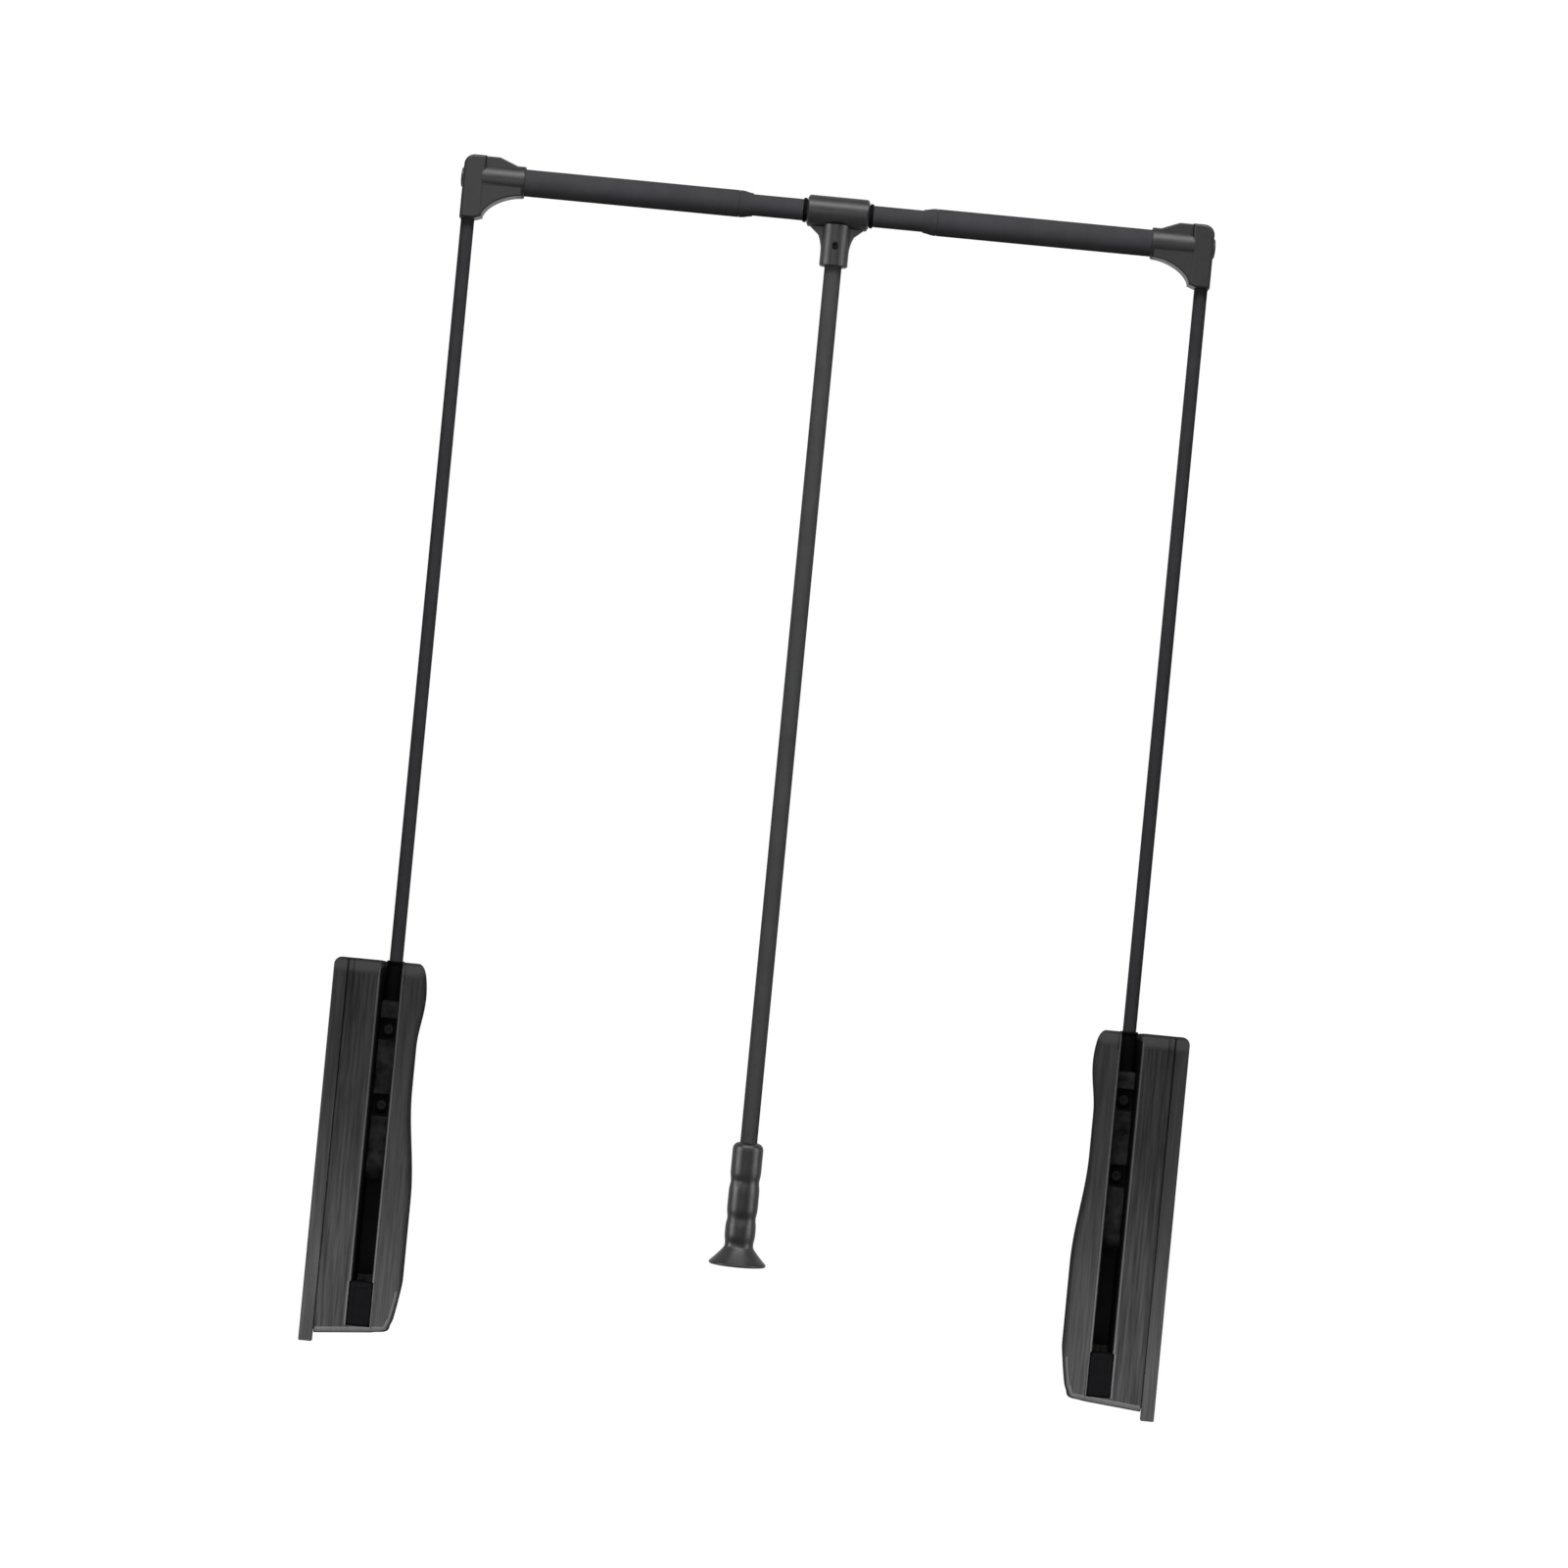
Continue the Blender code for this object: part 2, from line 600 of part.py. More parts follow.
def build_rack_guide(side):
    """Channel on the inside of the shell's front wall that backs the rack and keeps it upright."""
    inner = RACK_WIDTH / 2 + FIT
    outer = inner + GUIDE_WALL
    pad_y = RACK_BACK_Y - FIT
    cheek_y = RACK_ROOT_Y
    root_y = FRONT + SHELL_WALL / 2
    channel = [(-outer, root_y), (-outer, cheek_y), (-inner, cheek_y), (-inner, pad_y),
               (inner, pad_y), (inner, cheek_y), (outer, cheek_y), (outer, root_y)]
    placed = [(DRIVE_REACH + across, depth) for across, depth in channel]
    low = RACK_FOOT_TOP + GUIDE_RISE
    return plate(f"{side.name}_rack_guide", [mirrored(side, placed)], 'Z', low, RACK_TOP + GUIDE_RISE)


def cover_reach(height):
    """How far the room side cover stands from the wall at a height."""
    shoulder = HOUSING_HEIGHT - COVER_SHOULDER_DROP
    waist_top = HOUSING_HEIGHT - COVER_WAIST_DROP
    waist_foot = waist_top - COVER_WAIST_LENGTH
    if height >= shoulder:
        rise = min((height - shoulder) / COVER_SHOULDER_DROP, 1.0)
        return COVER_TOP_REACH + (COVER_SHOULDER_REACH - COVER_TOP_REACH) * math.sqrt(1 - rise * rise)
    if height >= waist_top:
        return ease(height, waist_top, COVER_WAIST_REACH, shoulder, COVER_SHOULDER_REACH)
    if height >= waist_foot:
        return COVER_WAIST_REACH
    if height >= COVER_BELLY_TOP:
        return ease(height, COVER_BELLY_TOP, COVER_BELLY_REACH, waist_foot, COVER_WAIST_REACH)
    if height >= COVER_BELLY_FOOT:
        return COVER_BELLY_REACH
    fall = (COVER_BELLY_FOOT - height) / (COVER_BELLY_FOOT - SHELL_FOOT_FAR)
    return COVER_BELLY_REACH - (COVER_BELLY_REACH - COVER_FOOT_REACH) * max(fall, 0.0) ** COVER_FOOT_POWER


def ease(value, start, start_level, end, end_level):
    """Smooth step between two levels."""
    share = (1 - math.cos(math.pi * (value - start) / (end - start))) / 2
    return start_level + (end_level - start_level) * share


def cover_levels():
    """Heights of the cover's sections: closer where its side curves."""
    shoulder = HOUSING_HEIGHT - COVER_SHOULDER_DROP
    waist_top = HOUSING_HEIGHT - COVER_WAIST_DROP
    stretches = ((SHELL_FOOT_FAR, COVER_BELLY_FOOT, 3),
                 (COVER_BELLY_FOOT, COVER_BELLY_TOP, 1),
                 (COVER_BELLY_TOP, waist_top - COVER_WAIST_LENGTH, 4),
                 (waist_top - COVER_WAIST_LENGTH, waist_top, 1),
                 (waist_top, shoulder, 3))
    levels = [low + (high - low) * step / steps for low, high, steps in stretches for step in range(steps)]
    quarter = [math.sin(math.pi / 2 * step / 4) for step in range(5)]
    return levels + [shoulder + COVER_SHOULDER_DROP * rise for rise in quarter]


def cover_section(side, height, inset, near, slope):
    """Plan outline of the cover at a height, drawn in by an inset; slope follows the underside."""
    reach = cover_reach(height) - inset
    front = FRONT + inset
    back = BACK - inset
    front_round = max(COVER_FRONT_ROUND - inset, COVER_LEAST_ROUND)
    back_round = max(COVER_BACK_ROUND - inset, COVER_LEAST_ROUND)
    outline = [(near, front)]
    outline += arc((reach - front_round, front + front_round), front_round, -90, 0, 2)
    outline += arc((reach - COVER_DRAFT - back_round, back - back_round), back_round, 0, 90, 2)
    outline += [(near, back)]
    if slope:
        return [(wall_x(side, out), depth, foot_height(out) + inset) for out, depth in outline]
    return [(wall_x(side, out), depth, height) for out, depth in outline]


def build_cover(side):
    """Hollow cover over the damper on the room side, waisted as seen from the front."""
    levels = cover_levels()
    outer = [cover_section(side, level, 0.0, COVER_NEAR, index == 0) for index, level in enumerate(levels)]
    obj = loft(f"{side.name}_inner_cover", outer, MOULDED)
    low = levels[0] + SHELL_WALL
    high = levels[-1] - SHELL_WALL
    inner_levels = [low] + [level for level in levels[2:-2:2] if low < level < high] + [high]
    near = COVER_NEAR - OVERCUT
    inner = [cover_section(side, level, SHELL_WALL, near, False) for level in inner_levels]
    hollow = loft(f"{side.name}_cover_hollow", inner)
    hole = COVER_SCREW_DIAMETER / 2 + FIT
    head = COVER_SCREW_HEAD / 2 + FIT
    far = COVER_BELLY_REACH + OVERCUT
    sinks = []
    for row, height in COVER_SCREW_HEIGHTS.items():
        seat = cover_screw_seat(height)
        base = wall_point(side, COVER_SCREW_Y, height)
        boss = cylinder(f"{side.name}_screw_boss_{row}", base + inward(side) * (near - OVERCUT),
                        base + inward(side) * far, head + COVER_BOSS_WALL, segments=SMALL_ROUND)
        cut(hollow, boss)
        sink = [(0, far), (head, far), (head, seat), (hole, seat), (hole, near), (0, near)]
        sinks.append(turned(f"{side.name}_screw_sink_{row}", sink, base, inward(side), segments=SMALL_ROUND))
    cut(obj, hollow, *sinks)
    return obj


def cover_screw_seat(height):
    """Distance from the wall of the face that a cover screw's head sits on."""
    return cover_reach(height) - COVER_DRAFT - COVER_SCREW_SINK


def build_cover_screw(side, row):
    """Pan head screw that holds the cover on the shell."""
    height = COVER_SCREW_HEIGHTS[row]
    seat = cover_screw_seat(height) + FIT
    top = seat + COVER_SCREW_HEAD_HEIGHT
    tip = SHELL_FAR - COVER_SCREW_BITE
    head = COVER_SCREW_HEAD / 2
    shank = COVER_SCREW_DIAMETER / 2
    profile = [(0, top), (head - SCREW_HEAD_CHAMFER, top), (head, top - SCREW_HEAD_CHAMFER), (head, seat),
               (shank, seat), (shank, tip + shank), (0, tip)]
    base = wall_point(side, COVER_SCREW_Y, height)
    return turned(f"{side.name}_cover_screw_{row}", profile, base, inward(side), STEEL, segments=SMALL_ROUND)


def build_slot_stop(side):
    """Rubber buffer that closes the foot of the slot and catches the lowered arm."""
    obj = side_box(side, "slot_stop",
                   (SLOT_NEAR - STOP_LEDGE + FIT, SLOT_FAR + STOP_LEDGE - FIT),
                   (FRONT + STOP_SETBACK, FRONT + STOP_SETBACK + STOP_DEPTH),
                   (STOP_FOOT, STOP_FOOT + STOP_HEIGHT), RUBBER)
    round_edges(obj, STOP_ROUND)
    return obj


# Pivot and return drive

CLIP_START = DRIVE_REACH - PINION_WIDTH / 2 - FIT - CLIP_THICKNESS
SHAFT_START = CLIP_START - FIT - SHAFT_TAIL
NEAR_FLANGE = BAY_FAR - FIT - BUSH_FLANGE_THICKNESS
FAR_FLANGE = SHELL_FAR + FIT + BUSH_FLANGE_THICKNESS
DAMPER_NEAR = SHELL_FAR + FIT
DAMPER_FAR = DAMPER_NEAR + BUSH_FLANGE_THICKNESS + FIT + DAMPER_WIDTH
SHAFT_END = DAMPER_FAR + SHAFT_TAIL


def build_shaft(side):
    """Pivot shaft with the groove for its clip."""
    groove = SHAFT_RADIUS - CLIP_GROOVE_DEPTH
    groove_start = CLIP_START - FIT
    groove_end = CLIP_START + CLIP_THICKNESS + FIT
    profile = [(0, SHAFT_END), (SHAFT_RADIUS, SHAFT_END), (SHAFT_RADIUS, groove_end), (groove, groove_end),
               (groove, groove_start), (SHAFT_RADIUS, groove_start), (SHAFT_RADIUS, SHAFT_START),
               (0, SHAFT_START)]
    return turned(f"{side.name}_pivot_shaft", profile, pivot_point(side, 0.0), inward(side), STEEL)


def build_bush(side, name, sleeve_end, seat, head_end):
    """Flanged plain bearing: sleeve through a slot wall, flange on the far face of that wall."""
    profile = [(SHAFT_BORE, sleeve_end), (BUSH_RADIUS, sleeve_end), (BUSH_RADIUS, seat),
               (BUSH_HEAD_RADIUS, seat), (BUSH_HEAD_RADIUS, head_end), (SHAFT_BORE, head_end)]
    return turned(f"{side.name}_{name}", profile, pivot_point(side, 0.0), inward(side), ACETAL, ring=True)


def build_clip(side):
    """Snap ring on the wall end of the shaft."""
    inner = SHAFT_RADIUS - CLIP_GROOVE_DEPTH + FIT
    outer = inner + CLIP_WIDTH
    half = math.degrees(CLIP_MOUTH) / 2
    centre = (ARM_Y, PIVOT_HEIGHT)
    loop = arc(centre, outer, -90 + half, 270 - half, MEDIUM_ROUND)
    loop += arc(centre, inner, 270 - half, -90 + half, MEDIUM_ROUND)
    xs = sorted((wall_x(side, CLIP_START), wall_x(side, CLIP_START + CLIP_THICKNESS)))
    return plate(f"{side.name}_shaft_clip", [loop], 'X', *xs, STEEL)


def involute(angle):
    """Involute function of a pressure angle."""
    return math.tan(angle) - angle


def pinion_loop():
    """Involute outline of the pinion, with one tooth pointing at the rack."""
    base = PITCH_RADIUS * math.cos(PRESSURE_ANGLE)
    root = PITCH_RADIUS - DEDENDUM_SHARE * GEAR_MODULE
    tip = PITCH_RADIUS + PINION_ADDENDUM_SHARE * GEAR_MODULE
    half_pitch_angle = (PITCH / 2 - BACKLASH / 2) / (2 * PITCH_RADIUS)
    start = max(base, root)
    flank = [start + (tip - start) * step / FLANK_STEPS for step in range(FLANK_STEPS + 1)]
    spread = [half_pitch_angle + involute(PRESSURE_ANGLE) - involute(math.acos(min(base / r, 1.0)))
              for r in flank]
    half_tooth = [(root, spread[0])] + list(zip(flank, spread))
    loop = []
    for tooth in range(PINION_TEETH):
        middle = math.pi + 2 * math.pi * tooth / PINION_TEETH
        rising = [(radius, middle - turn) for radius, turn in half_tooth]
        falling = [(radius, middle + turn) for radius, turn in reversed(half_tooth)]
        loop += [(ARM_Y + r * math.cos(a), PIVOT_HEIGHT + r * math.sin(a)) for r, a in rising + falling]
    return loop


def build_pinion(side):
    """Spur pinion keyed on the shaft, with a hub that runs to the bush."""
    centre = (ARM_Y, PIVOT_HEIGHT)
    bore = arc(centre, SHAFT_BORE, 0, 360 - 360 / ROUND, ROUND - 1)
    near = DRIVE_REACH - PINION_WIDTH / 2
    far = DRIVE_REACH + PINION_WIDTH / 2
    xs = sorted((wall_x(side, near), wall_x(side, far)))
    obj = plate(f"{side.name}_pinion", [pinion_loop(), bore], 'X', *xs, STEEL)
    hub_end = NEAR_FLANGE - FIT
    hub = SHAFT_BORE + PINION_HUB_WALL
    sleeve = [(SHAFT_BORE + FIT, hub_end), (hub, hub_end), (hub, far - OVERCUT),
              (SHAFT_BORE + FIT, far - OVERCUT)]
    join(obj, turned(f"{side.name}_pinion_hub", sleeve, pivot_point(side, 0.0), inward(side), ring=True,
                     segments=MEDIUM_ROUND))
    return obj


def rack_loop():
    """Toothed side outline of the rack, with a tooth gap level with the pivot."""
    half_pitch = PITCH / 4 - BACKLASH / 4
    addendum = RACK_ADDENDUM_SHARE * GEAR_MODULE
    dedendum = RACK_PITCH_Y - RACK_ROOT_Y
    lean = math.tan(PRESSURE_ANGLE)
    loop = [(RACK_ROOT_Y, RACK_LOW)]
    for tooth in range(RACK_TEETH):
        middle = RACK_LOW + (tooth + 0.5) * PITCH
        root_half = half_pitch + dedendum * lean
        tip_half = half_pitch - addendum * lean
        loop += [(RACK_ROOT_Y, middle - root_half), (RACK_PITCH_Y + addendum, middle - tip_half),
                 (RACK_PITCH_Y + addendum, middle + tip_half), (RACK_ROOT_Y, middle + root_half)]
    foot = RACK_FOOT_TOP - RACK_FOOT_THICKNESS / 2
    loop += [(RACK_ROOT_Y, RACK_TOP), (RACK_BACK_Y, RACK_TOP), (RACK_BACK_Y, foot), (RACK_ROOT_Y, foot)]
    return loop


def build_rack(side):
    """Gear rack with the foot that presses on the spring."""
    half = RACK_WIDTH / 2
    xs = sorted((wall_x(side, DRIVE_REACH - half), wall_x(side, DRIVE_REACH + half)))
    obj = plate(f"{side.name}_rack", [rack_loop()], 'X', *xs, STEEL)
    radius = SPRING_DIAMETER / 2
    foot = [(0, RACK_FOOT_TOP), (radius, RACK_FOOT_TOP), (radius, RACK_FOOT_LOW),
            (SPRING_POST_RADIUS, RACK_FOOT_LOW), (SPRING_POST_RADIUS, RACK_FOOT_LOW - RACK_SPIGOT),
            (0, RACK_FOOT_LOW - RACK_SPIGOT)]
    origin = (wall_x(side, DRIVE_REACH), SPRING_Y, 0.0)
    join(obj, turned(f"{side.name}_rack_foot", foot, origin, (0, 0, 1), segments=MEDIUM_ROUND))
    return obj


SPRING_SEAT_TOP = BAY_FLOOR + FIT + SPRING_SEAT_THICKNESS
SPRING_LOW = SPRING_SEAT_TOP + FIT
SPRING_HIGH = RACK_FOOT_LOW - FIT


def spring_points(side):
    """Centre line of the spring's wire: an even helix between its seats."""
    mean_radius = (SPRING_DIAMETER - SPRING_WIRE) / 2
    low = SPRING_LOW + SPRING_WIRE / 2
    rise = SPRING_HIGH - SPRING_WIRE / 2 - low
    count = SPRING_TURNS * SPRING_POINTS_PER_TURN
    middle = Vector((wall_x(side, DRIVE_REACH), SPRING_Y, low))
    points = []
    for step in range(count + 1):
        turn = -side.sign * 2 * math.pi * step / SPRING_POINTS_PER_TURN
        offset = Vector((mean_radius * math.cos(turn), mean_radius * math.sin(turn), rise * step / count))
        points.append(middle + offset)
    return points


def build_spring(side):
    """Compression spring under the rack, one unbroken wire."""
    name = f"{side.name}_spring"
    points = spring_points(side)
    turn = SPRING_POINTS_PER_TURN
    least = min((points[i] - points[j]).length for i in range(len(points))
                for j in range(i + turn // 2, len(points)))
    print(f"{name}: least gap between turns {(least - SPRING_WIRE) / MM:.2f} mm")
    curve = bpy.data.curves.new(name, 'CURVE')
    curve.dimensions = '3D'
    curve.bevel_depth = SPRING_WIRE / 2
    curve.bevel_resolution = 1
    curve.use_fill_caps = True
    spline = curve.splines.new('POLY')
    spline.points.add(len(points) - 1)
    for point, place in zip(spline.points, points):
        point.co = (*place, 1.0)
    obj = bpy.data.objects.new(name, curve)
    CUTTERS.objects.link(obj)
    bpy.context.view_layer.update()
    return mesh_of_curve(obj, STEEL)


def build_spring_guide(side):
    """Seat and centre post of the spring; the rack's foot comes down on the post at full swing."""
    low = BAY_FLOOR + FIT
    top = RACK_FOOT_LOW - RACK_SPIGOT - RACK_TRAVEL - END_GAP
    seat = SPRING_DIAMETER / 2
    post = SPRING_POST_RADIUS
    profile = [(0, top), (post - SPRING_POST_CHAMFER, top), (post, top - SPRING_POST_CHAMFER),
               (post, SPRING_SEAT_TOP), (seat, SPRING_SEAT_TOP), (seat, low), (0, low)]
    origin = (wall_x(side, DRIVE_REACH), SPRING_Y, 0.0)
    return turned(f"{side.name}_spring_guide", profile, origin, (0, 0, 1), ACETAL)


def build_damper_body(side):
    """Round case of the rotary damper, seated on the slot wall over the bush's flange."""
    rim = DAMPER_DIAMETER / 2
    recess = BUSH_HEAD_RADIUS + FIT
    floor = DAMPER_NEAR + BUSH_FLANGE_THICKNESS + FIT
    bore = SHAFT_BORE + DAMPER_ROTOR_WALL + FIT
    edge = DAMPER_CHAMFER
    profile = [(bore, DAMPER_FAR), (rim - edge, DAMPER_FAR), (rim, DAMPER_FAR - edge), (rim, DAMPER_NEAR),
               (recess, DAMPER_NEAR), (recess, floor), (bore, floor)]
    return turned(f"{side.name}_damper_body", profile, pivot_point(side, 0.0), inward(side), MOULDED,
                  ring=True)


def build_damper_rotor(side):
    """Rotor of the damper, keyed on the shaft."""
    near = FAR_FLANGE + FIT
    radius = SHAFT_BORE + DAMPER_ROTOR_WALL
    profile = [(SHAFT_BORE, DAMPER_FAR), (radius, DAMPER_FAR), (radius, near), (SHAFT_BORE, near)]
    return turned(f"{side.name}_damper_rotor", profile, pivot_point(side, 0.0), inward(side), ACETAL,
                  ring=True)


# Lever and arm

LEVER_FRONT = ARM_Y - LEVER_DEPTH / 2
SCREW_RISES = {"lower": LOWER_SCREW_RISE, "upper": UPPER_SCREW_RISE}


def build_lever(side):
    """Cast lever in the slot: hub on the shaft below, socket for the arm above."""
    half = LEVER_DEPTH / 2
    shoulder = PIVOT_HEIGHT + ARM_SOCKET_START
    top_round = LEVER_TOP_ROUND
    loop = arc((ARM_Y, PIVOT_HEIGHT), LEVER_HUB_RADIUS, 190, 350, 8)
    loop += [(ARM_Y + half, shoulder)]
    loop += arc((ARM_Y + half - top_round, LEVER_TOP - top_round), top_round, 0, 90, 3)
    loop += arc((ARM_Y - half + top_round, LEVER_TOP - top_round), top_round, 90, 180, 3)
    loop += [(ARM_Y - half, shoulder)]
    reach = SLOT_WIDTH / 2 - RUNNING_GAP
    xs = sorted((wall_x(side, ARM_INSET - reach), wall_x(side, ARM_INSET + reach)))
    obj = plate(f"{side.name}_arm_lever", [loop], 'X', *xs, COATED)
    arm_x = wall_x(side, ARM_INSET)
    socket = cylinder(f"{side.name}_lever_socket", (arm_x, ARM_Y, PIVOT_HEIGHT + ARM_SOCKET_START),
                      (arm_x, ARM_Y, LEVER_TOP + OVERCUT), ARM_RADIUS + FIT)
    bore = cylinder(f"{side.name}_lever_bore", pivot_point(side, ARM_INSET - SLOT_WIDTH),
                    pivot_point(side, ARM_INSET + SLOT_WIDTH), SHAFT_BORE)
    cut(obj, socket, bore)
    head = LEVER_SCREW_HEAD / 2 + FIT
    shank = LEVER_SCREW_DIAMETER / 2 + FIT
    hole = [(0, OVERCUT), (head, OVERCUT), (head, -LEVER_SCREW_SINK), (shank, -LEVER_SCREW_SINK),
            (shank, -half), (0, -half)]
    for row, rise in SCREW_RISES.items():
        origin = (arm_x, LEVER_FRONT, PIVOT_HEIGHT + rise)
        cut(obj, turned(f"{side.name}_lever_screw_hole_{row}", hole, origin, (0, -1, 0),
                        segments=SMALL_ROUND))
    recess = head + END_GAP / 2
    straight = UPPER_RECESS_LENGTH / 2 - recess
    middle = PIVOT_HEIGHT + UPPER_SCREW_RISE
    window = arc((arm_x, middle + straight), recess, 0, 180, 5)
    window += arc((arm_x, middle - straight), recess, 180, 360, 5)
    pocket = plate(f"{side.name}_lever_window", [window], 'Y', LEVER_FRONT - OVERCUT,
                   LEVER_FRONT + LEVER_SCREW_SINK - LEVER_SCREW_HEAD_HEIGHT)
    cut(obj, pocket)
    return obj


def build_lever_screw(side, row):
    """Clamp screw from the lever's front onto the arm."""
    seat = -LEVER_SCREW_SINK + FIT
    top = seat + LEVER_SCREW_HEAD_HEIGHT
    tip = -(LEVER_DEPTH / 2 - ARM_RADIUS) + FIT
    head = LEVER_SCREW_HEAD / 2
    shank = LEVER_SCREW_DIAMETER / 2
    profile = [(0, top), (head - SCREW_HEAD_CHAMFER, top), (head, top - SCREW_HEAD_CHAMFER), (head, seat),
               (shank, seat), (shank, tip), (0, tip)]
    origin = (wall_x(side, ARM_INSET), LEVER_FRONT, PIVOT_HEIGHT + SCREW_RISES[row])
    return turned(f"{side.name}_lever_screw_{row}", profile, origin, (0, -1, 0), STEEL, segments=SMALL_ROUND)


def build_arm(side):
    """Tube from the lever up to the elbow, cross drilled for the elbow's screw."""
    bore = ARM_RADIUS - ARM_WALL
    profile = [(ARM_RADIUS, ARM_TOP), (ARM_RADIUS, ARM_FOOT), (bore, ARM_FOOT), (bore, ARM_TOP)]
    origin = (wall_x(side, ARM_INSET), ARM_Y, 0.0)
    obj = turned(f"{side.name}_arm", profile, origin, (0, 0, 1), COATED, ring=True, segments=FINE_ROUND)
    axis = Vector((wall_x(side, ARM_INSET), ARM_Y, RAIL_HEIGHT))
    outside = axis - inward(side) * (ARM_RADIUS + OVERCUT)
    cut(obj, cylinder(f"{side.name}_arm_cross_hole", outside, axis, CAP_SHANK_DIAMETER / 2 + FIT,
                      segments=SMALL_ROUND))
    return obj


# Elbow and rail

def rail_axis(side, from_arm):
    """Point of the rail's axis at a distance inward from a side's arm."""
    return Vector((wall_x(side, ARM_INSET + from_arm), ARM_Y, RAIL_HEIGHT))


def build_elbow(side):
    """Moulded corner: block on the arm's end, sleeve round the rail, gusseted web between them."""
    back = ARM_RADIUS + FIT + ELBOW_SKIN
    half = ELBOW_BLOCK_DEPTH / 2
    low = RAIL_HEIGHT - ELBOW_DROP
    high = RAIL_HEIGHT + ELBOW_RISE
    sleeve_radius = RAIL_RADIUS + FIT + ELBOW_SLEEVE_WALL
    obj = side_box(side, "elbow", (ARM_INSET - back, ARM_INSET + ELBOW_BLOCK_INNER),
                   (ARM_Y - half, ARM_Y + half), (low, high), MOULDED)
    round_edges(obj, ELBOW_BLOCK_ROUND)
    corner_x = ELBOW_CORNER - back
    corner_z = high - ELBOW_CORNER
    waste = arc((corner_x, corner_z), ELBOW_CORNER, 90, 180, ELBOW_CORNER_STEPS)
    waste += [(-back - OVERCUT, corner_z), (-back - OVERCUT, high + OVERCUT), (corner_x, high + OVERCUT)]
    placed = mirrored(side, [(ARM_INSET + across, up) for across, up in waste])
    cut(obj, plate(f"{side.name}_elbow_corner", [placed], 'Y', ARM_Y - half - OVERCUT,
                   ARM_Y + half + OVERCUT))
    tucked = ELBOW_BLOCK_INNER - ELBOW_BLOCK_ROUND
    web_top = high - ELBOW_RIDGE_DROP
    web_end = ELBOW_REACH - ELBOW_MOUTH
    web_rise = sleeve_radius - ELBOW_MOUTH / 2
    web_root = tucked - ELBOW_BLOCK_ROUND
    web = hollow_curve((web_root, low + ELBOW_BLOCK_ROUND), (web_end, RAIL_HEIGHT - web_rise))
    web += [(web_end, RAIL_HEIGHT + web_rise), (ELBOW_SHOULDER, RAIL_HEIGHT + web_rise),
            (ELBOW_RIDGE, web_top), (web_root, web_top)]
    placed = mirrored(side, [(ARM_INSET + across, up) for across, up in web])
    gusset = plate(f"{side.name}_elbow_web", [placed], 'Y', ARM_Y - ELBOW_WEB / 2, ARM_Y + ELBOW_WEB / 2)
    sleeve = cylinder(f"{side.name}_elbow_sleeve", rail_axis(side, tucked), rail_axis(side, ELBOW_REACH),
                      sleeve_radius, segments=FINE_ROUND)
    join(obj, gusset, sleeve)
    socket_end = ARM_RADIUS + FIT + ELBOW_PARTITION
    rail_socket = cylinder(f"{side.name}_elbow_rail_socket", rail_axis(side, socket_end),
                           rail_axis(side, ELBOW_REACH + OVERCUT), RAIL_RADIUS + FIT, segments=FINE_ROUND)
    arm_x = wall_x(side, ARM_INSET)
    arm_socket = cylinder(f"{side.name}_elbow_arm_socket", (arm_x, ARM_Y, low - OVERCUT),
                          (arm_x, ARM_Y, ARM_TOP + FIT), ARM_RADIUS + FIT)
    screw_hole = cylinder(f"{side.name}_elbow_screw_hole", rail_axis(side, -back - OVERCUT),
                          rail_axis(side, 0.0), CAP_SHANK_DIAMETER / 2 + FIT, segments=SMALL_ROUND)
    cut(obj, rail_socket, arm_socket, screw_hole)
    return obj


def build_elbow_cap(side):
    """Domed screw through the elbow into the arm."""
    seat = ARM_INSET - ARM_RADIUS - FIT - ELBOW_SKIN - FIT
    top = seat - CAP_HEIGHT
    rim = CAP_DIAMETER / 2
    shank = CAP_SHANK_DIAMETER / 2
    tip = ARM_INSET - shank
    dome = [(rim * math.cos(math.radians(turn)), seat - CAP_EDGE - (CAP_HEIGHT - CAP_EDGE)
             * math.sin(math.radians(turn))) for turn in (0, 30, 60)]
    profile = [(0, tip), (shank, tip), (shank, seat), (rim, seat)] + dome + [(0, top)]
    origin = wall_point(side, ARM_Y, RAIL_HEIGHT)
    return turned(f"{side.name}_elbow_cap", profile, origin, inward(side), MOULDED)


def middle_point():
    """Middle of the rail, from which the rail's pieces measure outwards."""
    return Vector((0.0, ARM_Y, RAIL_HEIGHT))


def build_rail_tube(side):
    """Outer rail tube of one side."""
    profile = [(RAIL_RADIUS, RAIL_END), (RAIL_RADIUS, TUBE_START), (RAIL_BORE, TUBE_START),
               (RAIL_BORE, RAIL_END)]
    return turned(f"{side.name}_rail_tube", profile, middle_point(), -inward(side), COATED, ring=True,
                  segments=FINE_ROUND)


def build_rail_collar(side):
    """Tapered guide collar in the inner end of an outer rail tube."""
    shoulder = NOSE_START + COLLAR_NOSE
    spigot = RAIL_BORE - FIT
    profile = [(SLIDE_BORE + COLLAR_NOSE_WALL, NOSE_START), (RAIL_RADIUS, shoulder - COLLAR_LAND),
               (RAIL_RADIUS, shoulder), (spigot, shoulder), (spigot, shoulder + COLLAR_SPIGOT),
               (SLIDE_BORE, shoulder + COLLAR_SPIGOT), (SLIDE_BORE, NOSE_START)]
    return turned(f"{side.name}_rail_collar", profile, middle_point(), -inward(side), MOULDED, ring=True,
                  segments=FINE_ROUND)


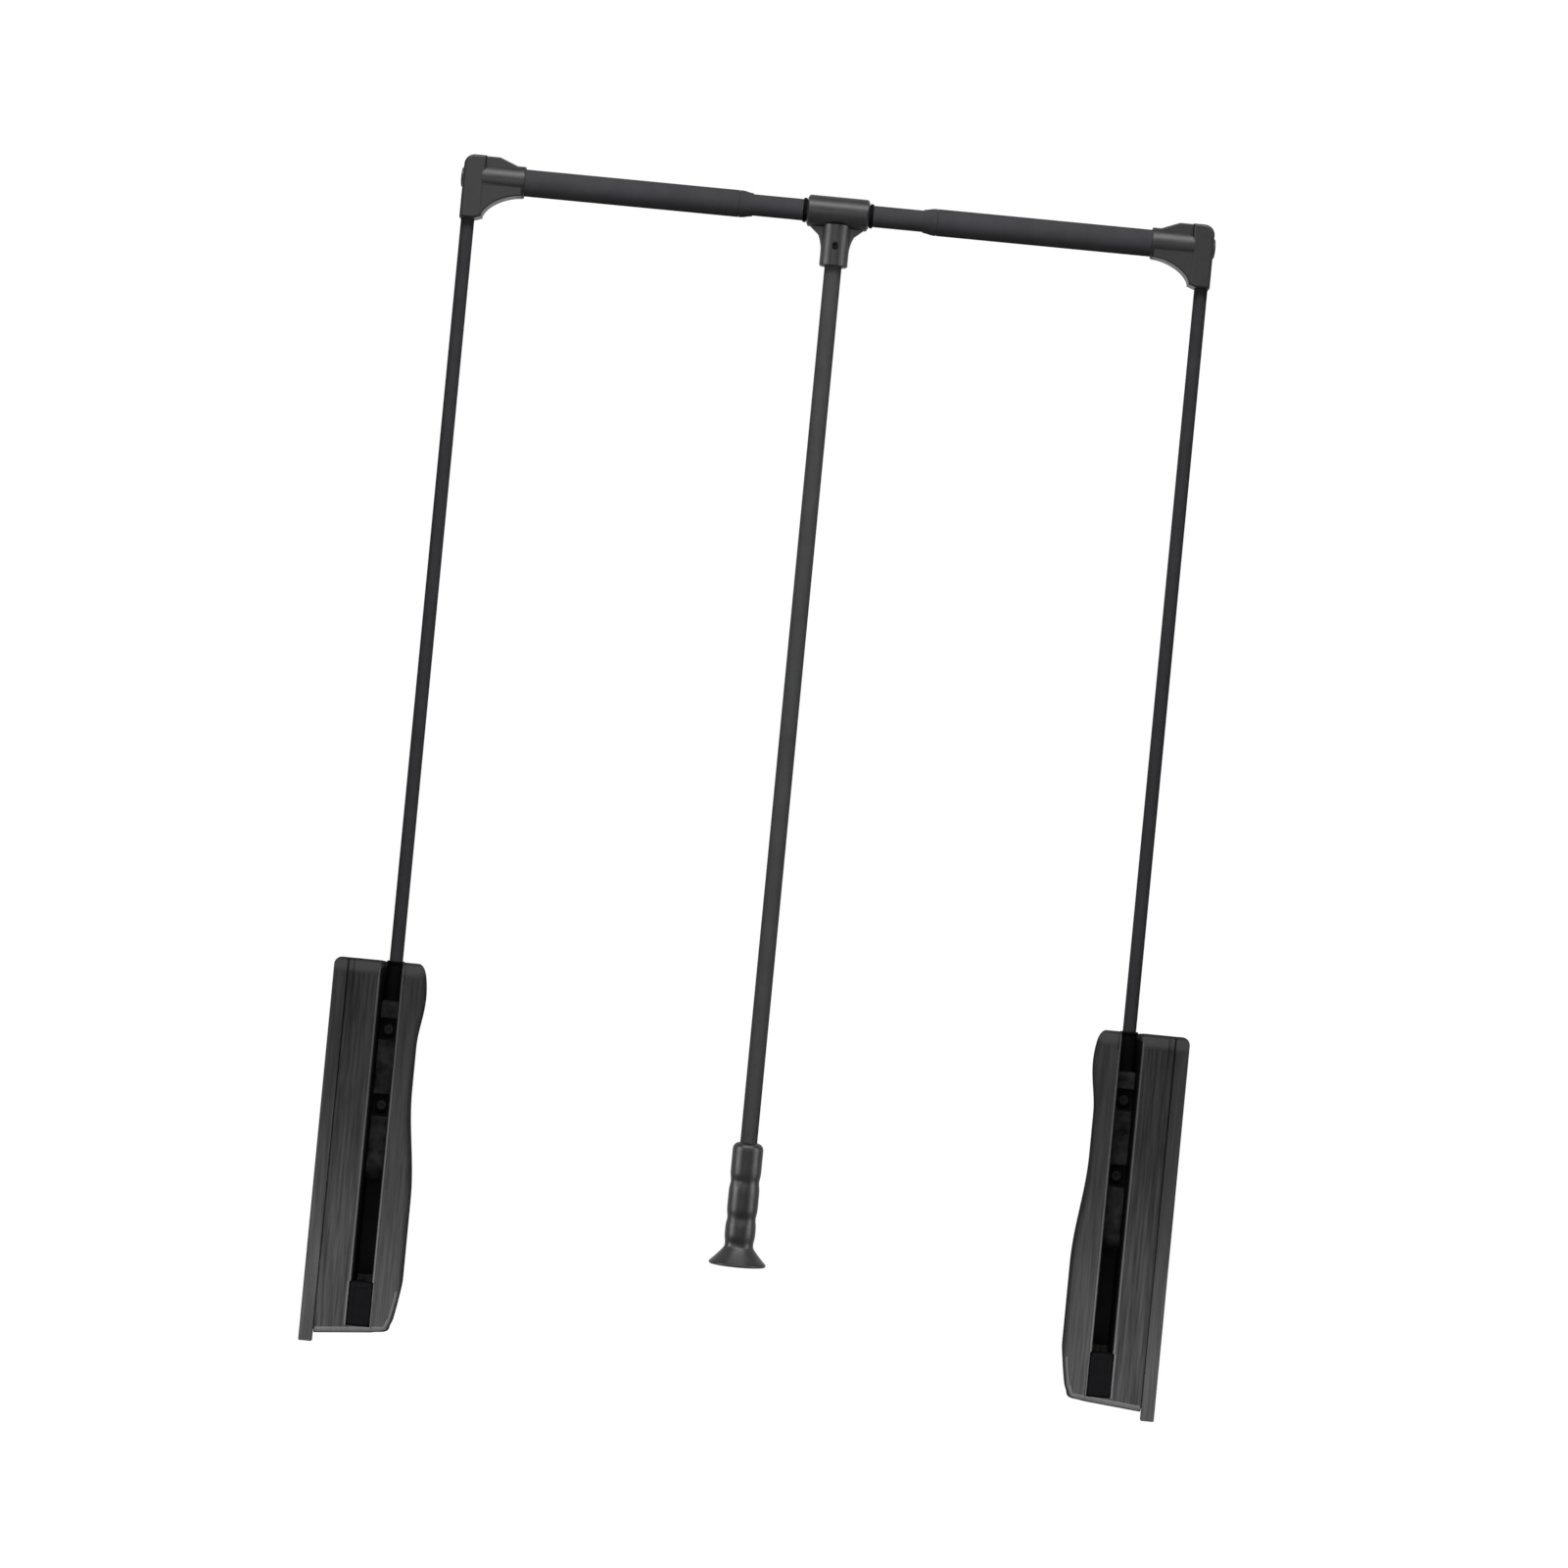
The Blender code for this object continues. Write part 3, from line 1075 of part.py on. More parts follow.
def build_rail_plug(side):
    """End plug of the inner tube; its flange slides in the outer tube."""
    end = INNER_RAIL_LENGTH / 2 + FIT
    spigot = INNER_RAIL_BORE - FIT
    profile = [(0, end + PLUG_FLANGE), (RAIL_BORE - FIT, end + PLUG_FLANGE), (RAIL_BORE - FIT, end),
               (spigot, end), (spigot, end - PLUG_SPIGOT), (0, end - PLUG_SPIGOT)]
    return turned(f"{side.name}_rail_plug", profile, middle_point(), -inward(side), ACETAL)


def build_stop_ring(side):
    """Rubber ring that keeps the tee in the middle of the rail."""
    start = TEE_LENGTH / 2 + FIT
    end = start + STOP_RING_WIDTH
    radius = SLIDE_BORE + STOP_RING_WALL
    profile = [(radius, end), (radius, start), (SLIDE_BORE, start), (SLIDE_BORE, end)]
    return turned(f"{side.name}_stop_ring", profile, middle_point(), -inward(side), RUBBER, ring=True)


def build_inner_rail():
    """Inner rail tube that both outer tubes slide on."""
    half = INNER_RAIL_LENGTH / 2
    profile = [(INNER_RAIL_RADIUS, half), (INNER_RAIL_RADIUS, -half), (INNER_RAIL_BORE, -half),
               (INNER_RAIL_BORE, half)]
    return turned("inner_rail_tube", profile, middle_point(), (1, 0, 0), COATED, ring=True,
                  segments=FINE_ROUND)


# Pull rod

def build_tee():
    """Moulded tee: sleeve that turns on the rail, gussets, and socket for the pull rod."""
    half = TEE_LENGTH / 2
    radius = TEE_SLEEVE_RADIUS
    sleeve = [(SLIDE_BORE, half), (radius - TEE_CHAMFER, half), (radius, half - TEE_CHAMFER),
              (radius, -half + TEE_CHAMFER), (radius - TEE_CHAMFER, -half), (SLIDE_BORE, -half)]
    obj = turned("tee", sleeve, middle_point(), (1, 0, 0), MOULDED, ring=True, segments=FINE_ROUND)
    low = RAIL_HEIGHT - TEE_DROP
    neck = RAIL_HEIGHT - TEE_GUSSET_DROP
    under = RAIL_HEIGHT - radius + TEE_CHAMFER
    web_half = TEE_WEB_WIDTH / 2
    right = [(web_half, low + TEE_WEB_LIFT)] + hollow_curve((web_half, neck), (half - TEE_CHAMFER, under))
    left = [(-across, up) for across, up in reversed(right)]
    web = plate("tee_web", [right + left], 'Y', ARM_Y - TEE_WEB_THICKNESS / 2, ARM_Y + TEE_WEB_THICKNESS / 2)
    socket_radius = PULL_ROD_RADIUS + FIT
    post = cylinder("tee_post", (0, ARM_Y, low), (0, ARM_Y, under), socket_radius + TEE_SOCKET_WALL,
                    segments=FINE_ROUND)
    join(obj, web, post)
    bore = cylinder("tee_rail_bore", middle_point() - Vector((half + OVERCUT, 0, 0)),
                    middle_point() + Vector((half + OVERCUT, 0, 0)), SLIDE_BORE, segments=FINE_ROUND)
    socket = cylinder("tee_rod_socket", (0, ARM_Y, low - OVERCUT), (0, ARM_Y, TEE_SOCKET_TOP), socket_radius,
                      segments=FINE_ROUND)
    height = RAIL_HEIGHT - TEE_SCREW_DROP
    outside = ARM_Y - socket_radius - TEE_SOCKET_WALL - OVERCUT
    hole = cylinder("tee_screw_hole", (0, outside, height), (0, ARM_Y, height), TEE_SCREW_DIAMETER / 2 + FIT,
                    segments=SMALL_ROUND)
    cut(obj, bore, socket, hole)
    return obj


def build_tee_screw():
    """Sunk grub screw through the tee into the pull rod."""
    start = PULL_ROD_RADIUS + FIT + TEE_SOCKET_WALL / 2
    end = PULL_ROD_RADIUS - 2 * PULL_ROD_WALL
    shank = TEE_SCREW_DIAMETER / 2
    profile = [(0, start), (shank, start), (shank, end + shank / 2), (shank / 2, end), (0, end)]
    origin = (0.0, ARM_Y, RAIL_HEIGHT - TEE_SCREW_DROP)
    return turned("tee_screw", profile, origin, (0, -1, 0), STEEL, segments=SMALL_ROUND)


def build_pull_rod():
    """Tube that hangs from the tee, drilled for its screw."""
    bore = PULL_ROD_RADIUS - PULL_ROD_WALL
    profile = [(PULL_ROD_RADIUS, PULL_ROD_TOP), (PULL_ROD_RADIUS, PULL_ROD_FOOT), (bore, PULL_ROD_FOOT),
               (bore, PULL_ROD_TOP)]
    obj = turned("pull_rod", profile, (0.0, ARM_Y, 0.0), (0, 0, 1), COATED, ring=True, segments=FINE_ROUND)
    height = RAIL_HEIGHT - TEE_SCREW_DROP
    cut(obj, cylinder("pull_rod_hole", (0, ARM_Y - PULL_ROD_RADIUS - OVERCUT, height), (0, ARM_Y, height),
                      TEE_SCREW_DIAMETER / 2 + FIT, segments=SMALL_ROUND))
    return obj


def build_grip():
    """Hand grip: three swells above a flared foot, socketed for the pull rod."""
    radius = GRIP_DIAMETER / 2
    cone_top = GRIP_FOOT + GRIP_CONE_HEIGHT
    swell_top = GRIP_TOP - GRIP_EDGE
    socket = PULL_ROD_RADIUS + FIT
    rim = GRIP_CONE_DIAMETER / 2
    steps = 4 * GRIP_SWELLS
    profile = [(socket, GRIP_TOP)] + arc((radius - GRIP_EDGE, swell_top), GRIP_EDGE, 90, 45, 1)
    for step in range(steps + 1):
        turn = 2 * math.pi * GRIP_SWELLS * step / steps
        height = swell_top + (cone_top - swell_top) * step / steps
        profile.append((radius - GRIP_SWELL / 2 * math.cos(turn), height))
    profile += arc((rim - GRIP_RIM / 2, GRIP_FOOT + GRIP_RIM / 2), GRIP_RIM / 2, 90, -90, 2)
    socket_foot = GRIP_TOP - GRIP_SOCKET_DEPTH
    profile += [(0, GRIP_FOOT), (0, socket_foot), (socket, socket_foot)]
    return turned("grip", profile, (0.0, ARM_Y, 0.0), (0, 0, 1), MOULDED, ring=True, segments=FINE_ROUND)


# Assembly

def add_axis(name, place, pieces):
    """Empty on a joint's axis, with the pieces that move on it as its children."""
    empty = bpy.data.objects.new(name, None)
    AXES.objects.link(empty)
    empty.location = place
    for piece in pieces:
        piece.parent = empty
        piece.matrix_parent_inverse = Matrix.Translation(-Vector(place))
    return empty


def build_side(side):
    """Build one side: its housing, its swinging frame and its drive."""
    build_wall_plate(side)
    build_shell(side)
    build_cover(side)
    for row in COVER_SCREW_HEIGHTS:
        build_cover_screw(side, row)
    build_slot_stop(side)
    build_bush(side, "outer_bush", SLOT_NEAR, BAY_FAR - FIT, NEAR_FLANGE)
    build_bush(side, "inner_bush", SLOT_FAR, SHELL_FAR + FIT, FAR_FLANGE)
    build_spring_guide(side)
    build_spring(side)
    build_damper_body(side)
    frame = [build_shaft(side), build_clip(side), build_pinion(side), build_damper_rotor(side),
             build_lever(side), build_arm(side), build_elbow(side), build_elbow_cap(side),
             build_rail_tube(side), build_rail_collar(side)]
    frame += [build_lever_screw(side, row) for row in SCREW_RISES]
    add_axis(f"{side.name}_swing_axis", pivot_point(side, ARM_INSET), frame)
    place = (wall_x(side, DRIVE_REACH), RACK_PITCH_Y, PIVOT_HEIGHT)
    add_axis(f"{side.name}_rack_axis", place, [build_rack(side)])


def build_middle():
    """Build the sliding inner rail and the pull rod that swings on it."""
    rail = [build_inner_rail()]
    for side in (LEFT, RIGHT):
        rail += [build_rail_plug(side), build_stop_ring(side)]
    add_axis("rail_slide_axis", middle_point(), rail)
    handle = [build_tee(), build_tee_screw(), build_pull_rod(), build_grip()]
    add_axis("handle_axis", middle_point(), handle)


build_side(LEFT)
build_side(RIGHT)
build_middle()
bpy.context.view_layer.update()
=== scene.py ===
"""Looks of the pull-down closet rod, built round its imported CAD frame.

X runs along the hanging rail, -Y faces the front of the closet and +Z is up. Lengths are metres in
the frame and millimetres times MM in this file. A housing's pieces are laid out by their reach, the
distance from that side's wall face towards the middle of the rod.
"""

import logging
import math
from abc import ABC, abstractmethod
from collections.abc import Iterable, Mapping, Sequence
from dataclasses import dataclass, field
from enum import Enum

import bmesh
import bpy
from mathutils import Matrix, Vector


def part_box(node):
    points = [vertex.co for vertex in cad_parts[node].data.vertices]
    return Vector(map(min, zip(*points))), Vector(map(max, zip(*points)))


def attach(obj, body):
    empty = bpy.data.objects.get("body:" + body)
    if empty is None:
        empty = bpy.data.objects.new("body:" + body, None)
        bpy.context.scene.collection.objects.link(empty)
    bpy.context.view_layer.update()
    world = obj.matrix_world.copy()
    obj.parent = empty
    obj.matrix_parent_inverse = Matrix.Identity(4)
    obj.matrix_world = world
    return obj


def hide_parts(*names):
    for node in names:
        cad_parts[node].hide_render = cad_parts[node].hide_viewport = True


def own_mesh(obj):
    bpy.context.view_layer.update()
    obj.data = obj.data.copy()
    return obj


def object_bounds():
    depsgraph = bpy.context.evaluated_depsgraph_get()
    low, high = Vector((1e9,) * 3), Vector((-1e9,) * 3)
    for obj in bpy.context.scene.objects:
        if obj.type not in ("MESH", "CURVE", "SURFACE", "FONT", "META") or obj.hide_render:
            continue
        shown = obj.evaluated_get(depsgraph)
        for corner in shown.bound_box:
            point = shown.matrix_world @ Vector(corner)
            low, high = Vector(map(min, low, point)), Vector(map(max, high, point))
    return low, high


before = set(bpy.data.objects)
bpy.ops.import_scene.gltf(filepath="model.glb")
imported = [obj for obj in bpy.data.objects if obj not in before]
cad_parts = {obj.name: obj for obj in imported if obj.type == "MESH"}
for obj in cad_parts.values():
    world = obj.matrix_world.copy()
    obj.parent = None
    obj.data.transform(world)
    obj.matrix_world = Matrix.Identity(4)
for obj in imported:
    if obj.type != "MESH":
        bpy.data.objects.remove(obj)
CAD_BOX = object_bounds()

logging.basicConfig(level=logging.INFO, format="%(name)s: %(message)s")
LOG = logging.getLogger("closet_rod")

MM = 0.001
PHOTO_PIXELS = 1601

# Places that the pieces are laid out from
HALF_WIDTH = CAD_BOX[1].x
FRONT = CAD_BOX[0].y
BACK = CAD_BOX[1].y
HOUSING_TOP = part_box("left_outer_shell")[1].z

# Gap between fitted pieces, how far a cutter stands out, and how near points are welded
FIT = 0.3 * MM
OVERCUT = 1.0 * MM
WELD = 0.002 * MM

# Facets round large, middling and small turned pieces, and round a hexagon
FINE = 72
MEDIUM = 40
SMALL = 24
HEXAGON = 6

# Angle from which an edge stays sharp, and how strongly flats hold their shading
SHARP_ANGLE = math.radians(33.0)
FLAT_WEIGHT = 60

# Least divisor of a mitred corner, a block's corner radius by its edge, and a drill's cone by its radius
MITRE_LIMIT = 0.2
CORNER_BY_EDGE = 1.3
DRILL_CONE = 1 / 3

UP = (0, 0, 1)
RIGHT = (1, 0, 0)
BACKWARD = (0, 1, 0)
FORWARD = (0, -1, 0)
ROWS = ("lower", "upper")
WHITE = (1.0, 1.0, 1.0, 1.0)

Outline = list[tuple[float, float]]
Ring = list[tuple[float, float, float]]
Colour = tuple[float, float, float, float]
Solid = bpy.types.Object
Tree = bpy.types.NodeTree
Socket = bpy.types.NodeSocket
Sockets = tuple[Socket, Socket]


class Side(Enum):
    """The two ends of the rod; the value is the sign of their X."""
    LEFT = -1
    RIGHT = 1

    def named(self, piece: str) -> str:
        """Name of this side's CAD node or body."""
        return f"{self.name.lower()}_{piece}"

    def x(self, reach: float) -> float:
        """World X at a distance from this side's wall face."""
        return self.value * (HALF_WIDTH - reach)

    def inward(self) -> Vector:
        """Direction from this side's wall to the middle of the rod."""
        return Vector((-self.value, 0.0, 0.0))

    def reaches(self, node: str) -> tuple[float, float]:
        """Least and greatest reach of one of this side's CAD nodes.

        Args:
            node: The node's name without its side.

        Returns:
            The two reaches.
        """
        low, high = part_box(self.named(node))
        ends = sorted((HALF_WIDTH - abs(low.x), HALF_WIDTH - abs(high.x)))
        return ends[0], ends[1]


class Axis(Enum):
    """World axes, with the order that puts (across, up, along) into world coordinates."""
    X = (2, 0, 1)
    Y = (0, 2, 1)
    Z = (0, 1, 2)

    def place(self, across: float, up: float, along: float) -> tuple[float, float, float]:
        """World point from outline coordinates and a distance along this axis."""
        values = (across, up, along)
        return values[self.value[0]], values[self.value[1]], values[self.value[2]]


class Combine(Enum):
    """How a helper solid changes a piece."""
    CUT = "DIFFERENCE"
    JOIN = "UNION"


class Skin(Enum):
    """Fine relief of a surface: the texture that draws it, its settings and the output for the height."""
    PEEL = ("ShaderNodeTexNoise", {"Detail": 1.0}, "Fac")
    GRAIN = ("ShaderNodeTexNoise", {"Detail": 2.0}, "Fac")
    PORES = ("ShaderNodeTexVoronoi", {"feature": 'F1'}, "Distance")
    PEBBLES = ("ShaderNodeTexVoronoi", {"feature": 'SMOOTH_F1', "Smoothness": 1.0}, "Distance")


# Outlines and meshes

def middle_of(node: str) -> Vector:
    """Middle of a CAD node's box."""
    low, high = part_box(node)
    return (low + high) / 2


def arc(centre: tuple[float, float], radius: float, start: float, end: float, steps: int) -> Outline:
    """Points of an arc.

    Args:
        centre: Middle of the arc.
        radius: Its radius.
        start: First angle in degrees.
        end: Last angle in degrees.
        steps: Number of chords.

    Returns:
        The arc's points, ends included.
    """
    angles = [math.radians(start + (end - start) * step / steps) for step in range(steps + 1)]
    return [(centre[0] + radius * math.cos(a), centre[1] + radius * math.sin(a)) for a in angles]


def rounded(corners: Sequence[tuple[float, float, float]], steps: int = 6) -> Outline:
    """Closed outline with its corners rounded by true arcs.

    Args:
        corners: (across, up, radius) of each corner in order.
        steps: Chords of each rounded corner.

    Returns:
        The outline's points.
    """
    points: Outline = []
    for index, (across, up, radius) in enumerate(corners):
        here = Vector((across, up))
        before = (Vector(corners[index - 1][:2]) - here).normalized()
        after = (Vector(corners[(index + 1) % len(corners)][:2]) - here).normalized()
        if radius <= 0.0:
            points.append((across, up))
            continue
        half = before.angle(after) / 2
        centre = here + (before + after).normalized() * (radius / math.sin(half))
        start = here + before * (radius / math.tan(half)) - centre
        end = here + after * (radius / math.tan(half)) - centre
        first = math.atan2(start.y, start.x)
        turn = (math.atan2(end.y, end.x) - first + math.pi) % (2 * math.pi) - math.pi
        points += arc(tuple(centre), radius, math.degrees(first), math.degrees(first + turn), steps)
    return points


def inset(outline: Outline, distance: float) -> Outline:
    """Outline drawn in by a distance, or spread out where the distance is negative.

    Args:
        outline: Closed outline in either direction.
        distance: How far each edge moves inwards.

    Returns:
        As many points as the outline has.
    """
    area = sum(a[0] * b[1] - b[0] * a[1] for a, b in zip(outline, outline[1:] + outline[:1]))
    sign = 1.0 if area > 0 else -1.0
    moved: Outline = []
    for index, point in enumerate(outline):
        here = Vector(point)
        arriving = (here - Vector(outline[index - 1])).normalized()
        leaving = (Vector(outline[(index + 1) % len(outline)]) - here).normalized()
        first = Vector((-arriving.y, arriving.x)) * sign
        second = Vector((-leaving.y, leaving.x)) * sign
        shift = (first + second) * (distance / max(1.0 + first.dot(second), MITRE_LIMIT))
        moved.append((here.x + shift.x, here.y + shift.y))
    return moved


def hollow_curve(start: tuple[float, float], end: tuple[float, float], power: float,
                 steps: int = 16) -> Outline:
    """Concave fillet from a steep start to a level end, as a quarter of a superellipse.

    Args:
        start: Lower end, where the curve runs upright.
        end: Upper end, where it runs level.
        power: Power of the superellipse; 2 is a true ellipse.
        steps: Chords of the curve.

    Returns:
        The curve's points.
    """
    points: Outline = []
    for step in range(steps + 1):
        turn = math.pi / 2 * step / steps
        across = math.cos(turn) ** (2 / power)
        up = math.sin(turn) ** (2 / power)
        points.append((end[0] + (start[0] - end[0]) * across, start[1] + (end[1] - start[1]) * up))
    return points


def quarter_round(radius: float, steps: int) -> Outline:
    """Steps of a rounded edge from the end face to the side, as (distance sunk, distance drawn in)."""
    turns = [math.pi / 2 * step / steps for step in range(steps + 1)]
    return [(radius * (1 - math.cos(turn)), radius * (1 - math.sin(turn))) for turn in turns]


def ease(share: float) -> float:
    """Smooth step from 0 to 1."""
    return (1 - math.cos(math.pi * min(max(share, 0.0), 1.0))) / 2


def object_of(name: str, bm: bmesh.types.BMesh) -> Solid:
    """Turn a closed bmesh into a linked object whose normals face outwards.

    Args:
        name: Name of the object.
        bm: The mesh, which is freed.

    Returns:
        The linked object.
    """
    bmesh.ops.recalc_face_normals(bm, faces=bm.faces)
    if bm.calc_volume(signed=True) < 0.0:
        bmesh.ops.reverse_faces(bm, faces=bm.faces)
    mesh = bpy.data.meshes.new(name)
    bm.to_mesh(mesh)
    bm.free()
    obj = bpy.data.objects.new(name, mesh)
    bpy.context.scene.collection.objects.link(obj)
    return obj


def loft(name: str, rings: Sequence[Ring]) -> Solid:
    """Closed skin through rings of as many points each.

    Args:
        name: Name of the object.
        rings: Rings from one end to the other.

    Returns:
        The linked object.
    """
    bm = bmesh.new()
    loops = [[bm.verts.new(point) for point in ring] for ring in rings]
    for lower, upper in zip(loops, loops[1:]):
        for index in range(len(lower)):
            after = (index + 1) % len(lower)
            bm.faces.new((lower[index], lower[after], upper[after], upper[index]))
    bm.faces.new(loops[0])
    bm.faces.new(loops[-1])
    return object_of(name, bm)


def prism(name: str, outline: Outline, axis: Axis, ends: tuple[float, float], edge: float = 0.0,
          steps: int = 4) -> Solid:
    """Outline drawn along an axis, with its two end edges rounded.

    Args:
        name: Name of the object.
        outline: Points (x, z), (y, z) or (x, y) for the axis Y, X or Z.
        axis: Axis that the outline is drawn along.
        ends: Two ends along the axis.
        edge: Radius of the end edges, or 0 for sharp ends.
        steps: Chords of each rounded edge.

    Returns:
        The linked object.
    """
    low, high = min(ends), max(ends)
    levels = [(low, 0.0), (high, 0.0)]
    if edge > 0.0:
        steps_in = quarter_round(edge, steps)
        levels = [(low + sunk, shrink) for sunk, shrink in steps_in]
        levels += [(high - sunk, shrink) for sunk, shrink in reversed(steps_in)]
    rings = [[axis.place(across, up, along) for across, up in inset(outline, shrink)]
             for along, shrink in levels]
    return loft(name, rings)


def lathe(name: str, profile: Outline, origin: Iterable[float], direction: Iterable[float],
          segments: int = FINE, ring: bool = False) -> Solid:
    """Turned piece.

    Args:
        name: Name of the object.
        profile: (radius, distance along the axis) points; a radius of 0 closes an end.
        origin: Point of the axis that the distances start from.
        direction: Direction of the axis.
        segments: Facets round the axis.
        ring: Whether the profile closes on itself, clear of the axis.

    Returns:
        The linked object.
    """
    turn = Vector(direction).to_track_quat('Z', 'Y').to_matrix().to_4x4()
    place = Matrix.Translation(Vector(origin)) @ turn
    angles = [2 * math.pi * step / segments for step in range(segments)]
    bm = bmesh.new()
    loops = []
    for radius, along in profile:
        count = 1 if radius <= 0.0 else segments
        loops.append([bm.verts.new(place @ Vector((radius * math.cos(a), radius * math.sin(a), along)))
                      for a in angles[:count]])
    pairs = list(zip(loops, loops[1:]))
    if ring:
        pairs.append((loops[-1], loops[0]))
    for first, second in pairs:
        for index in range(segments):
            after = (index + 1) % segments
            corners = [first[index % len(first)], first[after % len(first)],
                       second[after % len(second)], second[index % len(second)]]
            bm.faces.new(list(dict.fromkeys(corners)))
    return object_of(name, bm)


def cylinder(name: str, radius: float, ends: tuple[float, float], origin: Iterable[float],
             direction: Iterable[float], segments: int = FINE) -> Solid:
    """Plain round bar, or what a plain bore takes away.

    Args:
        name: Name of the object.
        radius: Its radius.
        ends: Distances of its two ends along the axis.
        origin: Point of the axis that the distances start from.
        direction: Direction of the axis.
        segments: Facets round the axis.

    Returns:
        The linked object.
    """
    low, high = ends
    return lathe(name, [(0.0, low), (radius, low), (radius, high), (0.0, high)], origin, direction, segments)


def hex_socket(name: str, key: float, depth: float, face: Iterable[float]) -> Solid:
    """What a hexagon socket takes away from a screw's front, with its drill's cone.

    Args:
        name: Name of the object.
        key: Size of the key across the corners.
        depth: How deep the flats go.
        face: Middle of the screw's front face.

    Returns:
        The linked object.
    """
    half = key / 2
    profile = [(0.0, -OVERCUT), (half, -OVERCUT), (half, depth), (0.0, depth + half * DRILL_CONE)]
    return lathe(name, profile, face, BACKWARD, HEXAGON)


def tube(name: str, points: Sequence[Vector], radius: float, sides: int = 12) -> Solid:
    """Round wire along a line of points, with flat ends.

    Args:
        name: Name of the object.
        points: Centre line.
        radius: Radius of the wire.
        sides: Facets round the wire.

    Returns:
        The linked object.
    """
    rings: list[Ring] = []
    for index, point in enumerate(points):
        ahead = points[min(index + 1, len(points) - 1)] - points[max(index - 1, 0)]
        level = Vector(UP).cross(ahead).normalized()
        upright = ahead.cross(level).normalized()
        angles = [2 * math.pi * step / sides for step in range(sides)]
        rings.append([tuple(point + (level * math.cos(a) + upright * math.sin(a)) * radius) for a in angles])
    return loft(name, rings)


def evaluated(obj: Solid) -> None:
    """Apply an object's modifiers to its mesh.

    Args:
        obj: The object.
    """
    bpy.context.view_layer.update()
    graph = bpy.context.evaluated_depsgraph_get()
    mesh = bpy.data.meshes.new_from_object(obj.evaluated_get(graph))
    obj.modifiers.clear()
    obj.data = mesh


def shape(obj: Solid, how: Combine, *helpers: Solid) -> Solid:
    """Cut or join a piece with helper solids, which are then removed.

    Args:
        obj: Piece that is changed.
        how: Whether they are cut away or joined on.
        helpers: Helper solids.

    Returns:
        The changed piece.
    """
    for helper in helpers:
        boolean = obj.modifiers.new(helper.name, 'BOOLEAN')
        boolean.operation = how.value
        boolean.solver = 'MANIFOLD'
        boolean.object = helper
    evaluated(obj)
    bm = bmesh.new()
    bm.from_mesh(obj.data)
    bmesh.ops.remove_doubles(bm, verts=bm.verts, dist=WELD)
    bm.to_mesh(obj.data)
    bm.free()
    for helper in helpers:
        bpy.data.objects.remove(helper, do_unlink=True)
    return obj


def smoothed(obj: Solid) -> None:
    """Shade a piece smooth, with its flats kept flat and its sharp edges sharp.

    Args:
        obj: The piece.
    """
    obj.data.shade_smooth()
    obj.data.set_sharp_from_angle(angle=SHARP_ANGLE)
    weighted = obj.modifiers.new("flats", 'WEIGHTED_NORMAL')
    weighted.keep_sharp = True
    weighted.weight = FLAT_WEIGHT
    evaluated(obj)


# Finishes

def linear(hex_colour: str) -> Colour:
    """Linear colour of an sRGB hex value such as #3a3b3c.

    Args:
        hex_colour: The colour as it is seen.

    Returns:
        Its linear red, green, blue and alpha.
    """
    parts = [int(hex_colour[start:start + 2], 16) / 255 for start in (1, 3, 5)]
    red, green, blue = [p / 12.92 if p <= 0.04045 else ((p + 0.055) / 1.055) ** 2.4 for p in parts]
    return red, green, blue, 1.0


def per_metre(size: float) -> float:
    """Texture scale that makes a pattern's features about this size."""
    return 1.0 / size


def add_node(tree: Tree, kind: str, settings: Mapping[str, object] | None = None,
             links: Mapping[str, Socket] | None = None) -> bpy.types.Node:
    """Add a shader node.

    Args:
        tree: Node tree that it goes in.
        kind: Blender's name for the kind of node.
        settings: Values by socket name or identifier, or else by attribute.
        links: Sockets that feed the node's inputs, by input name or identifier.

    Returns:
        The node.
    """
    node = tree.nodes.new(kind)
    for key, value in (settings or {}).items():
        if hasattr(node, key) and key not in node.inputs:
            setattr(node, key, value)
    sockets = {socket.name: socket for socket in reversed(node.inputs)}
    sockets.update({socket.identifier: socket for socket in node.inputs})
    for key, value in (settings or {}).items():
        if key in sockets:
            sockets[key].default_value = value
    for key, source in (links or {}).items():
        tree.links.new(source, sockets[key])
    return node


def outlet(node: bpy.types.Node, identifier: str) -> Socket:
    """Output of a node by its identifier, for nodes whose outputs share a name."""
    return next(socket for socket in node.outputs if socket.identifier == identifier)


